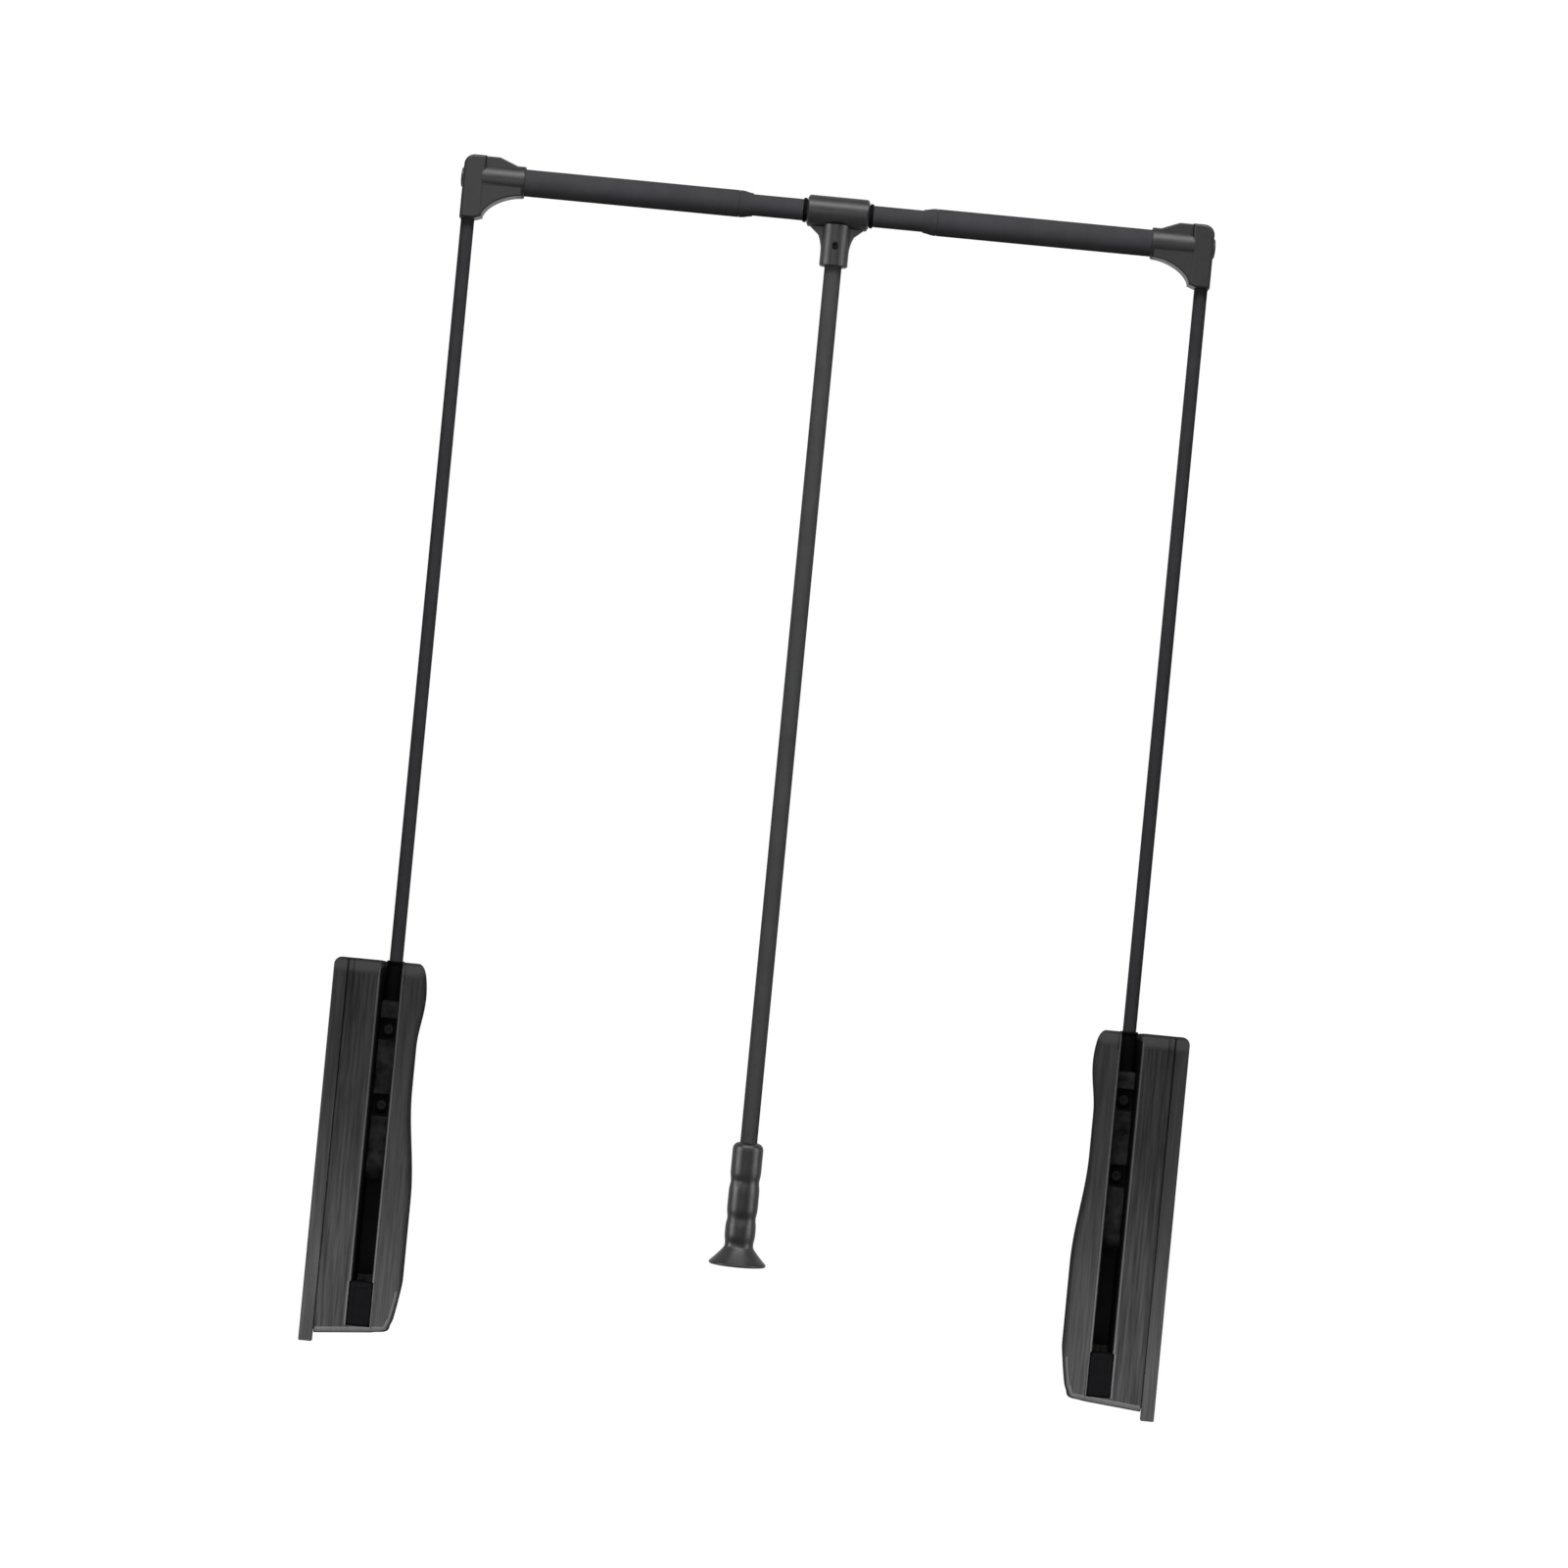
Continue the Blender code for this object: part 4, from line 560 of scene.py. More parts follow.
@dataclass(frozen=True)
class Finish(ABC):
    """One surface finish: its material's name, the record's slot, its two tones and its main values.

    Roughness follows the tone, relief is the bump's depth, and the tone spreads over the noise range.
    """
    name: str
    slot: str
    dark: str
    light: str
    roughness: tuple[float, float]
    specular: float
    ior: float = 1.5
    metallic: float = 0.0
    relief: float = 0.03 * MM
    noise_range: tuple[float, float] = (0.3, 0.7)

    @abstractmethod
    def pattern(self, tree: Tree, place: Socket) -> Sockets:
        """Draw the finish.

        Args:
            tree: Node tree of the material.
            place: Object coordinates in metres.

        Returns:
            Tone from 0 to 1, and height for the bump.
        """

    def material(self) -> bpy.types.Material:
        """The finish as a material, made once.

        Returns:
            The material.
        """
        known = bpy.data.materials.get(self.name)
        if known is not None:
            return known
        material = bpy.data.materials.new(self.name)
        material.use_nodes = True
        tree = material.node_tree
        shader = tree.nodes["Principled BSDF"]
        shader.inputs["Metallic"].default_value = self.metallic
        shader.inputs["IOR"].default_value = self.ior
        shader.inputs["Specular IOR Level"].default_value = self.specular
        place = add_node(tree, "ShaderNodeTexCoord").outputs["Object"]
        tone, height = self.pattern(tree, place)
        colour = add_node(tree, "ShaderNodeMix",
                          {"data_type": 'RGBA', "A_Color": linear(self.dark), "B_Color": linear(self.light)},
                          {"Factor_Float": tone})
        rough = add_node(tree, "ShaderNodeMapRange",
                         {"To Min": self.roughness[0], "To Max": self.roughness[1]}, {"Value": tone})
        bump = add_node(tree, "ShaderNodeBump", {"Strength": 1.0, "Distance": self.relief},
                        {"Height": height})
        tree.links.new(outlet(colour, "Result_Color"), shader.inputs["Base Color"])
        tree.links.new(rough.outputs["Result"], shader.inputs["Roughness"])
        tree.links.new(bump.outputs["Normal"], shader.inputs["Normal"])
        return material


@dataclass(frozen=True)
class MouldedAbs(Finish):
    """Moulded ABS with a drawn grain: satin, with upright streaks and a painted highlight: a paler band
    under the top.
    """
    ior: float = 1.54
    relief: float = 0.05 * MM
    # The mould's drawn lines are about 0.3 mm wide and its grit about 0.1 mm. Both are coarser here, to show
    streak_width: float = 2.2 * MM
    streak_length: float = 60.0 * MM
    streak_detail: float = 3.0
    streak_roughness: float = 0.6
    streak_tone: float = 0.65
    grit: float = 0.5 * MM
    grit_detail: float = 2.0
    grit_share: float = 0.35
    # Heights over which the painted highlight band under the top comes in, and over which it fades out so
    # that the top's rim keeps the darker plain tone as a painted shade
    painted_highlight_band: tuple[float, float] = (HOUSING_TOP - 10.0 * MM, HOUSING_TOP - 2.0 * MM)
    painted_highlight_fade: tuple[float, float] = (HOUSING_TOP + 2.0 * MM, HOUSING_TOP + 4.0 * MM)

    def pattern(self, tree: Tree, place: Socket) -> Sockets:
        """Upright streaks under a fine etched grit, and the painted highlight band under the top.

        Args:
            tree: Node tree of the material.
            place: Object coordinates in metres.

        Returns:
            Tone from 0 to 1, and height for the bump.
        """
        across = per_metre(self.streak_width)
        drawn = add_node(tree, "ShaderNodeMapping",
                         {"Scale": (across, across, per_metre(self.streak_length))}, {"Vector": place})
        streaks = add_node(tree, "ShaderNodeTexNoise",
                           {"Scale": 1.0, "Detail": self.streak_detail, "Roughness": self.streak_roughness},
                           {"Vector": drawn.outputs["Vector"]})
        grit = add_node(tree, "ShaderNodeTexNoise",
                        {"Scale": per_metre(self.grit), "Detail": self.grit_detail}, {"Vector": place})
        height = add_node(tree, "ShaderNodeMath",
                          {"operation": 'MULTIPLY_ADD', "Value_001": self.grit_share},
                          {"Value": grit.outputs["Fac"], "Value_002": streaks.outputs["Fac"]})
        grain = add_node(tree, "ShaderNodeMapRange",
                         {"From Min": self.noise_range[0], "From Max": self.noise_range[1],
                          "To Max": self.streak_tone}, {"Value": streaks.outputs["Fac"]})
        # Painted highlight: a paler band just under the housing's top, fading out again at its rim
        up = add_node(tree, "ShaderNodeSeparateXYZ", None, {"Vector": place}).outputs["Z"]
        highlight_in = add_node(tree, "ShaderNodeMapRange",
                        {"interpolation_type": 'SMOOTHSTEP', "From Min": self.painted_highlight_band[0],
                         "From Max": self.painted_highlight_band[1]}, {"Value": up})
        rim = add_node(tree, "ShaderNodeMapRange",
                       {"From Min": self.painted_highlight_fade[0], "From Max": self.painted_highlight_fade[1], "To Min": 1.0,
                        "To Max": 0.0}, {"Value": up})
        painted_band = add_node(tree, "ShaderNodeMath", {"operation": 'MULTIPLY'},
                          {"Value": highlight_in.outputs["Result"], "Value_001": rim.outputs["Result"]})
        tone = add_node(tree, "ShaderNodeMath", {"operation": 'MAXIMUM'},
                        {"Value": grain.outputs["Result"], "Value_001": painted_band.outputs["Value"]})
        return tone.outputs["Value"], height.outputs["Value"]


@dataclass(frozen=True)
class CloudedFinish(Finish):
    """Any finish whose tone drifts in clouds, over a fine relief."""
    cloud: float = 9.0 * MM
    cloud_detail: float = 3.0
    cloud_roughness: float = 0.5
    cloud_bend: float = 0.0
    skin: Skin = Skin.GRAIN
    grain: float = 0.8 * MM

    def pattern(self, tree: Tree, place: Socket) -> Sockets:
        """Clouds of tone, and the relief.

        Args:
            tree: Node tree of the material.
            place: Object coordinates in metres.

        Returns:
            Tone from 0 to 1, and height for the bump.
        """
        cloud = add_node(tree, "ShaderNodeTexNoise",
                         {"Scale": per_metre(self.cloud), "Detail": self.cloud_detail,
                          "Roughness": self.cloud_roughness, "Distortion": self.cloud_bend},
                         {"Vector": place})
        kind, settings, output = self.skin.value
        relief = add_node(tree, kind, {**settings, "Scale": per_metre(self.grain)}, {"Vector": place})
        tone = add_node(tree, "ShaderNodeMapRange",
                        {"From Min": self.noise_range[0], "From Max": self.noise_range[1]},
                        {"Value": cloud.outputs["Fac"]})
        return tone.outputs["Result"], relief.outputs[output]


@dataclass(frozen=True)
class SmoothAbs(CloudedFinish):
    """ABS from a polished mould: semi-gloss, with clouds where the melt flowed and a slight orange peel."""
    ior: float = 1.54
    cloud_bend: float = 0.8
    skin: Skin = Skin.PEEL
    grain: float = 1.6 * MM


@dataclass(frozen=True)
class PowderCoat(CloudedFinish):
    """Powder coat baked on steel tube: satin, with the pebbled skin that powder leaves."""
    relief: float = 0.01 * MM
    cloud: float = 30.0 * MM
    cloud_detail: float = 5.0
    cloud_roughness: float = 0.65
    skin: Skin = Skin.PEBBLES
    grain: float = 0.9 * MM


@dataclass(frozen=True)
class BlackedMetal(CloudedFinish):
    """Casting or screw blacked in a bath, and the flat black of painted shade: dull, with the mottle and
    grain that the bath leaves.
    """
    relief: float = 0.08 * MM
    cloud_detail: float = 4.0
    grain: float = 0.7 * MM


@dataclass(frozen=True)
class BlackRubber(CloudedFinish):
    """Moulded black rubber: matt, with a bloom of slightly paler dust over fine pores."""
    ior: float = 1.52
    relief: float = 0.04 * MM
    noise_range: tuple[float, float] = (0.35, 0.75)
    cloud: float = 6.0 * MM
    cloud_detail: float = 4.0
    skin: Skin = Skin.PORES
    # Real pores are about 0.1 mm wide. They are coarser here, to show in a near view
    grain: float = 0.4 * MM


@dataclass(frozen=True)
class ZincPlate(CloudedFinish):
    """Zinc plate over turned or drawn steel: bright grey, with dull patches and fine tool marks."""
    metallic: float = 1.0
    relief: float = 0.02 * MM
    cloud: float = 5.0 * MM
    cloud_detail: float = 5.0
    skin: Skin = Skin.PEEL
    # Real tool marks are about 0.1 mm apart. They are coarser here, to show in a near view
    grain: float = 0.35 * MM


@dataclass(frozen=True)
class NaturalAcetal(CloudedFinish):
    """Undyed moulded acetal: milky, waxy and slightly uneven."""
    ior: float = 1.48
    cloud: float = 8.0 * MM


# Shells: charcoal ABS, which shows soft upright streaks on a satin face
SHELL_FINISH = MouldedAbs("moulded_abs_charcoal", "moulded_shell", "#272727", "#4a4a4a", (0.5, 0.65), 0.0)

# Covers and wall plates: the same moulding a shade paler
COVER_FINISH = MouldedAbs("moulded_abs_grey", "moulded_shell", "#323232", "#4b4b4b", (0.5, 0.65), 0.0)

# Painted highlight on the ABS's rounded front edges, where light catches them: pale and a little smoother
EDGE_HIGHLIGHT_FINISH = MouldedAbs("abs_charcoal_painted_highlight", "moulded_shell", "#525252", "#606060", (0.4, 0.5), 0.02)

# Elbows, tee and grip: dark ABS from a polished mould, which shows the white room as a soft sheen
FITTING_FINISH = SmoothAbs("polished_mould_abs_charcoal", "moulded_fitting", "#141415", "#1b1b1c",
                           (0.38, 0.46), 0.18)

# Rail tubes: satin charcoal powder coat, all but free of highlights
TUBE_FINISH = PowderCoat("powder_coat_charcoal", "coated_tube", "#434345", "#4a4a4c", (0.5, 0.6), 0.0)

# Arms: the same coat a shade darker
ARM_FINISH = PowderCoat("powder_coat_black", "coated_tube", "#3a3a3c", "#414143", (0.5, 0.6), 0.0)

# Pull rod: the same coat a shade paler
POLE_FINISH = PowderCoat("powder_coat_grey", "coated_tube", "#4d4d4e", "#555556", (0.5, 0.6), 0.0)

# Levers: zinc die casting blacked all over, mottled where the black has worn
LEVER_FINISH = BlackedMetal("blacked_zinc_casting", "coated_lever", "#131313", "#363636", (0.5, 0.65), 0.02)

# Slot liners and the recesses of the levers: flat black, a painted shade for the dark gap of the deep slot
# and of the recesses
PAINTED_SHADE_FINISH = BlackedMetal("painted_shade_black", "coated_lever", "#060606", "#0a0a0a", (0.6, 0.75), 0.05)

# Buffers, stop rings, and the boots that paint shade on the arms inside the slots: matt black rubber, which
# hardly shows its form
RUBBER_FINISH = BlackRubber("black_rubber", "rubber", "#09090a", "#0e0e10", (0.7, 0.85), 0.02)

# Springs, shafts, pinions and racks: bright zinc plate
STEEL_FINISH = ZincPlate("zinc_plated_steel", "steel", "#8d8d8c", "#b0b0ad", (0.28, 0.45), 0.5)

# Screws: black oxide on steel, dark with a dull sheen
OXIDE_FINISH = BlackedMetal("black_oxide_steel", "steel", "#0b0b0c", "#121213", (0.4, 0.55), 0.1)

# Bushes, guides, rotors and plugs: undyed acetal, milky white
ACETAL_FINISH = NaturalAcetal("natural_acetal", "acetal", "#c4c1b6", "#d4d2c8", (0.38, 0.5), 0.45)


# Sub-assemblies

@dataclass
class Dressed:
    """One finished piece: its mesh, finish and body, the nodes it stands for, and marked faces' finish."""
    obj: Solid
    finish: Finish
    body: str
    nodes: tuple[str, ...]
    marked: Finish | None = None

    def put_on(self) -> None:
        """Give the piece its materials and tie it to the frame."""
        smoothed(self.obj)
        mesh = self.obj.data
        marks = [face.material_index for face in mesh.polygons]
        mesh.materials.clear()
        mesh.materials.append(self.finish.material())
        if self.marked is not None:
            mesh.materials.append(self.marked.material())
            mesh.polygons.foreach_set("material_index", marks)
        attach(self.obj, self.body)
        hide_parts(*self.nodes)
        LOG.info("%s rides %s in %s", self.obj.name, self.body, self.finish.name)


@dataclass
class SubAssembly(ABC):
    """Pieces that are built together."""
    pieces: list[Dressed] = field(default_factory=list, init=False)

    @abstractmethod
    def build(self) -> None:
        """Make the meshes and list them as pieces."""

    def add(self, obj: Solid, finish: Finish, body: str, *nodes: str,
            marked: Finish | None = None) -> None:
        """List a mesh as a piece.

        Args:
            obj: The mesh object.
            finish: Its finish.
            body: CAD body that it rides on.
            nodes: CAD nodes that it stands for.
            marked: Finish of the faces that the piece's mesh marks, if it marks any.
        """
        self.pieces.append(Dressed(obj, finish, body, nodes, marked))

    def dress(self) -> None:
        """Give every piece its finish and its place in the frame."""
        for piece in self.pieces:
            piece.put_on()


@dataclass
class Housing(SubAssembly):
    """Wall plate, slotted shell, room side cover, black slot liner as painted shade, buffer and cover screws
    of one side.
    """
    side: Side
    wall: float = 2.6 * MM
    plate_corner: float = 6.5 * MM
    plate_foot_corner: float = 1.0 * MM
    plate_edge: float = 0.9 * MM
    plate_web: float = 3.5 * MM
    plate_rim: float = 5.0 * MM
    wall_screw: float = 5.5 * MM
    wall_screw_head: float = 10.5 * MM
    wall_screw_sink: float = 2.4 * MM
    wall_screw_spread: float = 60.0 * MM
    screw_inset: float = 44.0 * MM
    slot_width: float = 16.2 * MM
    slot_back: float = 16.0 * MM
    lip: float = 1.5 * MM
    liner_sheet: float = 0.5 * MM
    liner_gap: float = 0.1 * MM
    top_edge: float = 1.2 * MM
    top_band: float = 9.0 * MM
    top_lean: float = 2.4 * MM
    lean_steps: int = 6
    edge_steps: int = 5
    top_rise: float = 5.0 * MM
    foot_edge: float = 5.2 * MM
    foot_drop: float = 2.0 * MM
    corner: float = 0.9 * MM
    seam: float = 0.2 * MM
    near_corner: float = 2.2 * MM
    rebate_width: float = 6.0 * MM
    rebate_depth: float = 2.4 * MM
    rebate_length: float = 100.0 * MM
    rebate_fade: float = 35.0 * MM
    bush_radius: float = 7.3 * MM
    core_edge: float = 1.0 * MM
    # Forward, downward and sideways parts of the normals of rounded edges that get the painted highlight
    highlight_forward: tuple[float, float] = (-0.995, -0.1)
    highlight_down: tuple[float, float] = (-0.75, -0.02)
    highlight_aside: float = 0.5
    top_reach: float = 68.4 * MM
    shoulder_reach: float = 75.3 * MM
    waist_reach: float = 71.0 * MM
    belly_reach: float = 78.4 * MM
    foot_reach: float = 72.5 * MM
    shoulder_drop: float = 26.0 * MM
    waist_drop: float = 68.0 * MM
    waist_length: float = 34.0 * MM
    belly_top: float = 114.0 * MM
    belly_foot: float = 47.0 * MM
    foot_power: float = 1.3
    cover_rings: int = 60
    hollow_rings: int = 24
    draft: float = 4.0 * MM
    front_round: float = 5.0 * MM
    back_round: float = 8.0 * MM
    least_round: float = 1.0 * MM
    screw_head: float = 8.2 * MM
    screw_rise: float = 2.8 * MM
    screw_crown: float = 1.2 * MM
    screw_shank: float = 4.0 * MM
    screw_sink: float = 5.9 * MM
    cross_length: float = 4.6 * MM
    cross_width: float = 1.1 * MM
    cross_depth: float = 1.6 * MM
    boss_wall: float = 2.4 * MM
    stop_round: float = 2.0 * MM
    stop_panel: float = 0.8 * MM

    def __post_init__(self) -> None:
        """Read the places that the frame gives."""
        self.body = self.side.named("housing")
        shell_low, shell_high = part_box(self.side.named("outer_shell"))
        self.near, self.far = self.side.reaches("outer_shell")
        self.cover_near = self.far + FIT
        self.top = shell_high.z
        cover_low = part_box(self.side.named("inner_cover"))[0].z
        self.slope = (cover_low - shell_low.z) / (self.cover_near - self.near)
        self.near_foot = shell_low.z - self.foot_drop
        arm = middle_of(self.side.named("arm"))
        self.arm_reach, self.arm_y = HALF_WIDTH - abs(arm.x), arm.y
        self.pivot_z = middle_of(self.side.named("pivot_shaft")).z
        self.stop_low, self.stop_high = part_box(self.side.named("slot_stop"))
        self.floor = self.stop_low.z - FIT
        self.screw_y = (self.slot_back + BACK) / 2

    def foot(self, reach: float) -> float:
        """Height of the sloping underside at a reach."""
        return self.near_foot + (reach - self.near) * self.slope

    def build(self) -> None:
        """Make the plate, the shell, the cover, the slot's liner and buffer, and the cover's screws."""
        self.add(self.wall_plate(), COVER_FINISH, self.body, self.side.named("wall_plate"))
        # The marked faces of the shell and the cover get a painted highlight along the lips and the foot's
        # edge
        self.add(self.paint_edge_highlight(self.shell()), SHELL_FINISH, self.body, self.side.named("outer_shell"),
                 marked=EDGE_HIGHLIGHT_FINISH)
        self.add(self.paint_edge_highlight(self.cover()), COVER_FINISH, self.body, self.side.named("inner_cover"),
                 marked=EDGE_HIGHLIGHT_FINISH)
        # Black sheet in the slot: painted shade
        self.add(self.shade_liner(), PAINTED_SHADE_FINISH, self.body)
        self.add(self.buffer(), RUBBER_FINISH, self.body, self.side.named("slot_stop"))
        for row in ROWS:
            self.add(self.cover_screw(row), OXIDE_FINISH, self.body, self.side.named(f"cover_screw_{row}"))

    def wall_plate(self) -> Solid:
        """Tray with a rounded upper corner, countersunk for its four wall screws.

        Returns:
            The linked object.
        """
        near, far = self.side.reaches("wall_plate")
        corners = [(near, 0.0, self.plate_foot_corner), (far, 0.0, self.plate_foot_corner),
                   (far, self.top, self.corner), (near, self.top, self.plate_corner)]
        outline = [(self.side.x(reach), up) for reach, up in rounded(corners, steps=8)]
        plate = prism(self.side.named("plate_skin"), outline, Axis.Y, (FRONT, BACK), self.plate_edge)
        for vertex in plate.data.vertices:
            if vertex.co.z > self.top / 2:
                vertex.co.z += self.rise(vertex.co.y)
        pocket = self.block("plate_pocket", (near + self.plate_web, far + OVERCUT),
                            (FRONT + self.plate_rim, BACK - self.plate_rim),
                            (-OVERCUT, self.top - self.plate_rim))
        hole, head = self.wall_screw / 2, self.wall_screw_head / 2
        profile = [(0.0, self.plate_web + OVERCUT), (head, self.plate_web + OVERCUT), (head, self.plate_web),
                   (hole, self.plate_web - self.wall_screw_sink), (hole, FIT), (hole + FIT, -FIT),
                   (0.0, -FIT)]
        sinks = [lathe(self.side.named("wall_hole"), profile, (self.side.x(0.0), depth, height),
                       self.side.inward(), SMALL)
                 for depth in (-self.wall_screw_spread / 2, self.wall_screw_spread / 2)
                 for height in (self.screw_inset, self.top - self.screw_inset)]
        return shape(plate, Combine.CUT, pocket, *sinks)

    def block(self, name: str, reaches: tuple[float, float], depths: tuple[float, float],
              heights: tuple[float, float], edge: float = 0.0) -> Solid:
        """Block given by its reaches, depths and heights.

        Args:
            name: Name of the piece on this side.
            reaches: Two distances from the wall.
            depths: Front and back.
            heights: Foot and top.
            edge: Radius of all its edges.

        Returns:
            The linked object.
        """
        xs = sorted(self.side.x(reach) for reach in reaches)
        turn = CORNER_BY_EDGE * edge
        corners = [(xs[0], heights[0], turn), (xs[1], heights[0], turn), (xs[1], heights[1], turn),
                   (xs[0], heights[1], turn)]
        return prism(self.side.named(name), rounded(corners, steps=4), Axis.Y, depths, edge)

    def shell_section(self, front: float, back: float, rebate: float) -> Outline:
        """Plan of the shell without its slot.

        Args:
            front: World Y of its front face.
            back: World Y of its back face.
            rebate: How far the strip beside the wall plate is sunk.

        Returns:
            The outline in reach and depth.
        """
        step = self.near + self.rebate_width
        corner, seam, turn = self.corner, self.seam, self.near_corner
        outline = arc((self.near + turn, front + rebate + turn), turn, 180, 270, steps=5)
        outline += [(step - self.rebate_depth, front + rebate), (step, front)]
        outline += arc((self.far - seam, front + seam), seam, 270, 360, steps=3)
        outline += arc((self.far - seam, back - seam), seam, 0, 90, steps=3)
        return outline + arc((self.near + corner, back - corner), corner, 90, 180, steps=4)

    def top_levels(self) -> Outline:
        """Heights of the rings under the top, each with how far the face is drawn in there.

        Returns:
            Pairs of height and distance, from below.
        """
        shares = [step / self.lean_steps for step in range(self.lean_steps)]
        start, end = self.top - self.top_band, self.top - self.top_edge
        soft = [(start + (end - start) * share, self.top_lean * share ** 2) for share in shares]
        edge = [(self.top - sunk, self.top_lean + drawn)
                for sunk, drawn in quarter_round(self.top_edge, self.edge_steps)]
        return soft + edge[::-1]

    def shell(self) -> Solid:
        """Slotted moulding, hollow over the drive and rounded at its lips and rims.

        Returns:
            The linked object.
        """
        rings: list[Ring] = []
        for sunk, drawn in quarter_round(self.foot_edge, self.edge_steps):
            outline = self.shell_section(FRONT + drawn, BACK - drawn, 0.0)
            rings.append([(self.side.x(reach), depth, self.foot(reach) + sunk) for reach, depth in outline])
        start = self.top - self.rebate_length
        rings.append(self.level(self.shell_section(FRONT, BACK, 0.0), start))
        for height, drawn in [(start + self.rebate_fade, 0.0)] + self.top_levels():
            section = self.shell_section(FRONT + drawn, BACK - drawn, self.rebate_depth)
            rings.append(self.rising(section, height) if drawn else self.level(section, height))
        obj = loft(self.side.named("slot_shell"), rings)
        bay_far = self.arm_reach - self.slot_width / 2 - self.wall
        bay = self.block("bay", (self.near - OVERCUT, bay_far),
                         (FRONT + self.rebate_depth + self.wall, BACK - self.wall - self.foot_edge),
                         (self.foot(bay_far) + self.foot_edge, self.top - self.wall))
        core_inset = self.slot_width / 2 - self.wall
        core = self.block("core", (self.arm_reach - core_inset, self.arm_reach + core_inset),
                          (self.slot_back + self.wall, BACK + OVERCUT),
                          (2 * self.screw_inset, self.top - 2 * self.screw_inset), self.core_edge)
        bore = cylinder(self.side.named("bore"), self.bush_radius, (bay_far - OVERCUT, self.far + OVERCUT),
                        (self.side.x(0.0), self.arm_y, self.pivot_z), self.side.inward(), MEDIUM)
        spare = self.liner_sheet + self.liner_gap
        slot = self.mouth_cutter("slot_cutter", self.slot_width / 2 + spare, self.slot_back + spare,
                                 self.top + self.top_rise + OVERCUT)
        pocket = self.mouth_cutter("pocket_cutter", (self.stop_high.x - self.stop_low.x) / 2 + FIT,
                                   self.stop_high.y + FIT, self.stop_high.z + FIT)
        return shape(obj, Combine.CUT, bay, core, slot, pocket, bore)

    def paint_edge_highlight(self, obj: Solid) -> Solid:
        """Mark the front edges of the slot's lips and the foot's edge, which get a painted highlight where
        light catches them.

        Args:
            obj: The shell's or the cover's mesh object.

        Returns:
            The same object.
        """
        for face in obj.data.polygons:
            away = abs(HALF_WIDTH - abs(face.center.x) - self.arm_reach)
            lip = away < self.slot_width / 2 + 2 * self.lip and face.center.y < FRONT + self.lip
            under = self.highlight_down[0] < face.normal.z < self.highlight_down[1]
            foot = under and abs(face.normal.x) < self.highlight_aside and face.center.z < self.stop_high.z
            turning = self.highlight_forward[0] < face.normal.y < self.highlight_forward[1]
            if turning and face.center.z < self.top - self.top_band and (lip or foot):
                face.material_index = 1
        return obj

    def mouth_cutter(self, name: str, half: float, back: float, top: float) -> Solid:
        """What a slot with rounded lips takes away from the foot of the arm's slot upwards.

        Args:
            name: Name of the piece on this side.
            half: Half of the slot's width.
            back: World Y of its back wall.
            top: World height that it ends at.

        Returns:
            The linked object.
        """
        lip_y = FRONT + self.lip
        left = arc((self.arm_reach - half - self.lip, lip_y), self.lip, -90, 0, steps=6)
        right = arc((self.arm_reach + half + self.lip, lip_y), self.lip, 180, 270, steps=6)
        outline = [(left[0][0], FRONT - OVERCUT)] + left
        outline += [(self.arm_reach - half, back), (self.arm_reach + half, back)] + right
        outline.append((right[-1][0], FRONT - OVERCUT))
        placed = [(self.side.x(reach), depth) for reach, depth in outline]
        return prism(self.side.named(name), placed, Axis.Z, (self.floor, top))

    def shade_liner(self) -> Solid:
        """Flat black sheet that lines the slot behind its lips, a painted shade for the slot's dark depth.

        Returns:
            The linked object.
        """
        inner, outer = self.slot_width / 2, self.slot_width / 2 + self.liner_sheet
        front, back = FRONT + self.lip + self.liner_gap, self.slot_back
        half = [(outer, front), (outer, back + self.liner_sheet)]
        inside = [(inner, back), (inner, front)]
        across = [(-x, y) for x, y in half] + half[::-1] + inside[::-1] + [(-x, y) for x, y in inside]
        outline = [(self.side.x(self.arm_reach + x), y) for x, y in across]
        ends = (self.stop_high.z + 2 * FIT, self.top - self.top_edge)
        return prism(self.side.named("slot_shade_liner"), outline, Axis.Z, ends)

    def cover_reach(self, height: float) -> float:
        """How far the waisted cover stands from the wall at a height.

        Args:
            height: World height.

        Returns:
            The reach of its skin.
        """
        shoulder = self.top - self.shoulder_drop
        waist_top = self.top - self.waist_drop
        waist_foot = waist_top - self.waist_length
        if height >= shoulder:
            rise = min((height - shoulder) / self.shoulder_drop, 1.0)
            return self.top_reach + (self.shoulder_reach - self.top_reach) * math.sqrt(1 - rise * rise)
        if height >= waist_top:
            share = ease((height - waist_top) / (shoulder - waist_top))
            return self.waist_reach + (self.shoulder_reach - self.waist_reach) * share
        if height >= waist_foot:
            return self.waist_reach
        if height >= self.belly_top:
            share = ease((height - self.belly_top) / (waist_foot - self.belly_top))
            return self.belly_reach + (self.waist_reach - self.belly_reach) * share
        foot = self.foot(self.belly_reach)
        fall = max((self.belly_foot - height) / (self.belly_foot - foot), 0.0)
        return self.belly_reach - (self.belly_reach - self.foot_reach) * min(fall, 1.0) ** self.foot_power

    def cover_section(self, height: float, thickness: float, drawn: float = 0.0) -> Outline:
        """Plan of the cover.

        Args:
            height: World height.
            thickness: How far inside the skin the outline runs.
            drawn: How far the front and back faces are drawn in.

        Returns:
            The outline in reach and depth.
        """
        reach = self.cover_reach(height) - thickness
        near = self.cover_near if thickness == 0.0 else self.cover_near - OVERCUT
        front, back = FRONT + thickness + drawn, BACK - thickness - drawn
        front_round = max(self.front_round - thickness, self.least_round)
        back_round = max(self.back_round - thickness, self.least_round)
        outline = [(near, front + self.seam), (near + self.seam, front)]
        outline += arc((reach - front_round, front + front_round), front_round, -90, 0, steps=8)
        outline += arc((reach - self.draft - back_round, back - back_round), back_round, 0, 90, steps=8)
        return outline + [(near, back)]

